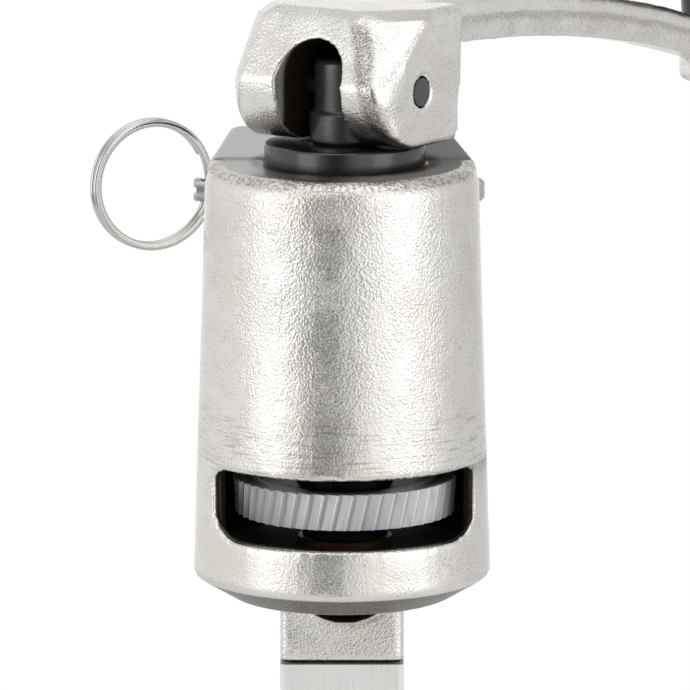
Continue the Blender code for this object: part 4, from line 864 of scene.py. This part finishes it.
@dataclass
class Spindle:
    """The black flanged sleeve, the turned shaft, its clip and keys, and the return spring."""

    flange_radius: float = 0.0161
    flange_foot: float = 0.2989
    flange_top: float = 0.3039
    sleeve_radius: float = 0.0099
    sleeve_foot: float = 0.2479
    bore: float = 0.00635
    spring_radius: float = 0.0080
    wire_radius: float = 0.0007
    spring_low: float = 0.2375
    spring_high: float = 0.2469
    spring_turns: float = 3.5
    travel: float = 0.00331
    voxel: float = 0.00032
    relax: int = 4

    def sleeve(self) -> bpy.types.Mesh:
        """The flanged sleeve: its section spun about the crank axis."""
        outline = softened([(self.bore, self.flange_top, 0.0003),
                            (self.bore, self.sleeve_foot, 0.0003),
                            (self.sleeve_radius, self.sleeve_foot, 0.0004),
                            (self.sleeve_radius, self.flange_foot, 0.0003),
                            (self.flange_radius, self.flange_foot, 0.0004),
                            (self.flange_radius, self.flange_top, 0.0007)], 4)
        return turned("flanged_sleeve_turned", outline, 144)

    def spring(self) -> bpy.types.Mesh:
        """The return spring: a round wire on a helix, with one section every 5 degrees.

        The middle of the wire is (R cos a, R sin a) from the crank axis, and rises evenly
        with a. The section's first direction is the radius, and its second lies across both.
        """
        count = int(self.spring_turns * 72) + 1
        angle = np.linspace(0.0, 2.0 * math.pi * self.spring_turns, count)
        out = np.stack([np.cos(angle), np.sin(angle), np.zeros(count)], -1)
        path = out * self.spring_radius + np.array([AXIS_X, 0.0, 0.0])
        path[:, 2] = np.linspace(self.spring_low, self.spring_high, count)
        rise = (self.spring_high - self.spring_low) / angle[-1]
        run = np.stack([-self.spring_radius * np.sin(angle),
                        self.spring_radius * np.cos(angle), np.full(count, rise)], -1)
        run /= np.linalg.norm(run, axis=1, keepdims=True)
        turn = np.linspace(0.0, 2.0 * math.pi, 16, endpoint=False)
        section = self.wire_radius * np.stack([np.cos(turn), np.sin(turn)], -1)
        return carried("return_spring_coil", path, out, np.cross(run, out), section)

    def build(self) -> None:
        """Dress the turning parts under the lever."""
        plastic = DarkFinish("black_bearing_plastic", (0.009, 0.008, 0.009),
                             (0.035, 0.033, 0.035), 0.19, 0.0, 0.5, 1.0).build()
        oxide = DarkFinish("black_oxide_shaft", (0.085, 0.082, 0.086), (0.17, 0.17, 0.17),
                           0.30, 0.6, 0.5).build()
        oiled = DarkFinish("oiled_clip_steel", (0.030, 0.027, 0.023), (0.08, 0.07, 0.06),
                           0.40, 1.0).build()
        bright = GroundSteel("bright_drawn_steel", (0.66, 0.66, 0.66), 0.24, Grain.ROUND).build()
        put_piece("flanged_sleeve_turned", self.sleeve(), plastic, "sleeve", "black_plastic",
                  "flanged_sleeve")
        shaft = skin_of("crank_shaft", "shaft_skin", self.voxel, self.relax)
        shaft.shade_smooth()
        put_piece("shaft_skin", shaft, oxide, "spindle", "black_oxide", "crank_shaft")
        coil = put_piece("return_spring_coil", self.spring(), bright, "sleeve", "bright_steel",
                         "return_spring")
        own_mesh(coil)
        dress(bright, "sleeve_key", "wheel_key")
        dress(oiled, "wheel_clip")


@dataclass
class PullPin:
    """The knife's pull pin with its split ring of flat wire."""

    eye: tuple[float, float, float] = (-0.0273, 0.0306, 0.2893)
    ring_radius: float = 0.0126
    wire_across: float = 0.00085
    wire_along: float = 0.00058
    pitch: float = 0.00155
    start: float = math.radians(35.0)
    turns: float = 1.83
    yaw: float = math.radians(26.4)
    tilt: float = math.radians(9.2)

    def ring(self) -> bpy.types.Mesh:
        """The split ring: a flat rounded wire wound nearly twice.

        At turn t the angle is a = start + 2 pi t, and the middle of the wire is
        R (cos a - 1) outwards, R sin a up, and pitch times (t - turns / 2) to the front,
        all tilted and turned about the pin's eye.
        """
        count = 300
        t = np.linspace(0.0, self.turns, count)
        a = self.start + 2.0 * math.pi * t
        zero = np.zeros(count)
        flat = np.stack([self.ring_radius * (np.cos(a) - 1.0),
                         -self.pitch * (t - self.turns / 2.0),
                         self.ring_radius * np.sin(a)], -1)
        out = np.stack([np.cos(a), zero, np.sin(a)], -1)
        front = np.stack([zero, zero - 1.0, zero], -1)
        c, s = math.cos(self.yaw), math.sin(self.yaw)
        up, over = math.cos(self.tilt), math.sin(self.tilt)
        spin = np.array([[c, -s, 0.0], [s, c, 0.0], [0.0, 0.0, 1.0]]) @ np.array(
            [[up, 0.0, over], [0.0, 1.0, 0.0], [-over, 0.0, up]])
        turn = np.linspace(0.0, 2.0 * math.pi, 20, endpoint=False)
        round_wire = np.stack([np.cos(turn), np.sin(turn)], -1)
        square = np.sign(round_wire) * np.abs(round_wire) ** 0.75
        section = square * np.array([self.wire_across, self.wire_along])
        path = flat @ spin.T + np.array(self.eye)
        return carried("split_ring_wire", path, out @ spin.T, front @ spin.T, section)

    def build(self) -> None:
        """Stand the wound ring in for the CAD ring, and dress the pin."""
        wire = GroundSteel("ring_wire_steel", (0.70, 0.70, 0.69), 0.15, Grain.ROUND, 0.0000004,
                           0.15, 0.0)
        put_piece("split_ring_wire", self.ring(), wire.build(), "ring", "bright_steel",
                  "split_ring")
        dress(GroundSteel("pin_steel", (0.66, 0.65, 0.64), 0.28, Grain.ACROSS).build(),
              "release_pin")


@dataclass
class BarAndKnife:
    """The square bar with its roll pin, the floor bush and the knife."""

    def build(self) -> None:
        """Dress the pieces that stay with the head."""
        bar = GroundSteel("brushed_bar_steel", (0.97, 0.96, 0.94), 0.62, Grain.UPRIGHT, 0.00003,
                          0.08)
        dress(bar.build(), "stem_bar")
        knife = GroundSteel("ground_knife_steel", (0.62, 0.62, 0.63), 0.30, Grain.ACROSS)
        dress(knife.build(), "knife")
        roll_pin = GroundSteel("roll_pin_steel", (0.55, 0.55, 0.55), 0.30, Grain.ROUND)
        dress(roll_pin.build(), "stem_roll_pin")
        bush = DarkFinish("oil_dark_bronze", (0.10, 0.055, 0.020), (0.16, 0.09, 0.035), 0.42, 0.6)
        dress(bush.build(), "floor_bush")


@dataclass
class Handle:
    """The turning grip on the arm's end, with its bolt, washer and nut."""

    def build(self) -> None:
        """Dress the grip and its fasteners."""
        phenolic = DarkFinish("black_phenolic", (0.012, 0.012, 0.012), (0.05, 0.05, 0.05), 0.22,
                              0.0, 0.3)
        dress(phenolic.build(), "crank_grip", "grip_cap")
        bolt = GroundSteel("bolt_steel", (0.62, 0.62, 0.62), 0.28, Grain.ROUND)
        dress(bolt.build(), "grip_bolt", "grip_washer", "grip_nut")


# ---- Studio --------------------------------------------------------------------------
@dataclass
class Studio:
    """Floor, pale surround, soft lights and the camera at the photograph's angle."""

    pixel: float = 0.0002
    far_pixels: float = 7150.0
    elevation: float = math.radians(10.3)
    frame_half: float = 345.0
    aim_x: float = 0.0006
    edge_height: float = 0.2995
    edge_pixel: float = 164.0
    floor_reach: float = 0.70
    # (degrees from the front about +Z, positive to the right; brightness)
    walls: tuple[tuple[float, float], ...] = (
        (-180.0, 0.86), (-150.0, 0.81), (-130.0, 0.80), (-110.0, 0.84), (-90.0, 0.82),
        (-78.0, 0.84), (-64.0, 0.87), (-52.0, 0.88), (-40.0, 0.82), (-30.0, 0.55),
        (-22.0, 0.21), (-14.0, 0.12), (-5.0, 0.15), (3.0, 0.46), (12.0, 0.88), (24.0, 1.08),
        (40.0, 1.02), (58.0, 0.84), (72.0, 0.80), (84.0, 0.76), (97.0, 0.69), (110.0, 0.65),
        (130.0, 0.65), (150.0, 0.67), (168.0, 0.78), (180.0, 0.86))

    def camera(self) -> None:
        """A long lens that shows 690 pixels of 0.2 mm at the crank axis."""
        distance = self.far_pixels * self.pixel
        drop = (self.frame_half - self.edge_pixel) * self.pixel / math.cos(self.elevation)
        data = bpy.data.cameras.new("camera")
        data.sensor_width = 36.0
        data.lens = 18.0 / (self.frame_half / self.far_pixels)
        data.clip_start, data.clip_end = 0.05, 20.0
        camera = bpy.data.objects.new("camera", data)
        camera.location = (self.aim_x, -distance * math.cos(self.elevation),
                           self.edge_height - drop + distance * math.sin(self.elevation))
        camera.rotation_euler = (math.pi / 2.0 - self.elevation, 0.0, 0.0)
        bpy.context.scene.collection.objects.link(camera)
        bpy.context.scene.camera = camera

    def lamp(self, name: str, place: Colour, aim: Colour, size: tuple[float, float],
             energy: float) -> None:
        """One rectangular soft light that faces a point."""
        data = bpy.data.lights.new(name, "AREA")
        data.shape = "RECTANGLE"
        data.size, data.size_y = size
        data.energy = energy
        lamp = bpy.data.objects.new(name, data)
        lamp.location = place
        toward = Vector(aim) - Vector(place)
        lamp.rotation_mode = "QUATERNION"
        lamp.rotation_quaternion = toward.to_track_quat("-Z", "Y")
        bpy.context.scene.collection.objects.link(lamp)

    def surround(self) -> None:
        """The world: white behind the object, and the walls of a studio to the metal.

        A wall's brightness depends on the angle round Z: 0.5 + atan2(x, -y) / 2 pi runs
        through the colour ramp. It falls off towards the floor and the ceiling.
        """
        world = bpy.data.worlds.new("surround")
        bpy.context.scene.world = world
        world.use_nodes = True
        tree = world.node_tree
        tree.nodes.clear()

        def add(kind: str, feeds: dict[int | str, object], **settings: object) -> bpy.types.Node:
            """Add a node with its links, values and settings."""
            made = tree.nodes.new(kind)
            for key, value in settings.items():
                setattr(made, key, value)
            for key, value in feeds.items():
                if isinstance(value, bpy.types.NodeSocket):
                    tree.links.new(value, made.inputs[key])
                else:
                    made.inputs[key].default_value = value
            return made

        place = add("ShaderNodeTexCoord", {}).outputs["Generated"]
        axes = add("ShaderNodeSeparateXYZ", {0: place}).outputs
        front = add("ShaderNodeMath", {0: axes["Y"], 1: -1.0}, operation="MULTIPLY").outputs[0]
        round_z = add("ShaderNodeMath", {0: axes["X"], 1: front}, operation="ARCTAN2").outputs[0]
        about = add("ShaderNodeMath", {0: round_z, 1: 0.5 / math.pi, 2: 0.5},
                    operation="MULTIPLY_ADD").outputs[0]
        ramp = add("ShaderNodeValToRGB", {"Fac": about})
        ramp.color_ramp.interpolation = "EASE"
        stops = ramp.color_ramp.elements
        for degrees, level in self.walls[1:-1]:
            stops.new(0.5 + degrees / 360.0).color = (level, level, level, 1.0)
        for stop, (_, level) in ((stops[0], self.walls[0]), (stops[-1], self.walls[-1])):
            stop.color = (level, level, level, 1.0)
        low = add("ShaderNodeMapRange", {"Value": axes["Z"], "From Min": -0.45, "From Max": -0.20,
                                         "To Min": 0.35, "To Max": 1.0}).outputs["Result"]
        high = add("ShaderNodeMapRange", {"Value": axes["Z"], "From Min": 0.40, "From Max": 0.90,
                                          "To Min": 1.0, "To Max": 0.70}).outputs["Result"]
        level = add("ShaderNodeMath", {0: low, 1: high}, operation="MULTIPLY").outputs[0]
        room = add("ShaderNodeBackground", {"Color": ramp.outputs["Color"], "Strength": level})
        white = add("ShaderNodeBackground", {"Color": (1.0, 1.0, 1.0, 1.0), "Strength": 1.0})
        rays = add("ShaderNodeLightPath", {}).outputs
        seen = add("ShaderNodeMath", {0: rays["Is Camera Ray"], 1: rays["Is Transmission Ray"]},
                   operation="MAXIMUM").outputs[0]
        behind = add("ShaderNodeMapRange", {"Value": axes["Y"], "From Min": 0.90,
                                            "From Max": 0.97}).outputs["Result"]
        mirrored = add("ShaderNodeMath", {0: rays["Is Glossy Ray"], 1: behind},
                       operation="MULTIPLY").outputs[0]
        share = add("ShaderNodeMath", {0: seen, 1: mirrored}, operation="MAXIMUM").outputs[0]
        choose = add("ShaderNodeMixShader", {0: share, 1: room.outputs[0], 2: white.outputs[0]})
        add("ShaderNodeOutputWorld", {"Surface": choose.outputs[0]})

    def floor(self) -> None:
        """A plain pale disc under the bar that fades to white at its rim."""
        angle = np.linspace(0.0, 2.0 * math.pi, 96, endpoint=False)
        ring = self.floor_reach * np.stack([np.cos(angle), np.sin(angle), np.zeros(96)], -1)
        points = np.concatenate([ring, np.zeros((1, 3))])
        mesh = mesh_of("floor", points, fan(0, 96, 96, False))
        sheet = Sheet("pale_floor")
        x, y, _ = sheet.axes()
        material = sheet.finish((0.86, 0.86, 0.86), 0.8, 0.0)
        rim = sheet.step(sheet.reach(x, y), self.floor_reach * 0.35, self.floor_reach * 0.98)
        feeds = {"Color": (1.0, 1.0, 1.0, 1.0), "Strength": 1.0}
        glow = sheet.node("ShaderNodeEmission", feeds).outputs[0]
        rays = sheet.node("ShaderNodeLightPath").outputs["Is Camera Ray"]
        feeds = {0: sheet.both(rim, rays), 1: sheet.shader.outputs[0], 2: glow}
        mixed = sheet.node("ShaderNodeMixShader", feeds).outputs[0]
        out = sheet.tree.nodes["Material Output"]
        sheet.tree.links.new(mixed, out.inputs["Surface"])
        mesh.materials.append(material)
        disc = bpy.data.objects.new("floor", mesh)
        bpy.context.scene.collection.objects.link(disc)

    def build(self) -> None:
        """Set up the whole studio."""
        bpy.context.scene.view_settings.view_transform = "Standard"
        self.camera()
        self.surround()
        self.floor()
        aim = (0.0, 0.0, 0.26)
        self.lamp("left_softbox", (-1.1, -0.75, 0.55), aim, (0.7, 1.2), 2.6)
        self.lamp("right_softbox", (1.1, -0.75, 0.55), aim, (0.7, 1.2), 2.4)
        self.lamp("top_softbox", (0.0, -0.2, 1.3), aim, (1.2, 0.9), 2.4)


def main() -> None:
    """Build the studio and each sub-assembly in order."""
    logging.basicConfig(level=logging.INFO, format="%(name)s: %(message)s")
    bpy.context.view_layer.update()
    Studio().build()
    for part in (HeadCasting(), BarAndKnife(), DriveWheel(), Spindle(), LeverCasting(),
                 Handle(), PullPin()):
        part.build()


if __name__ == "__main__":
    main()
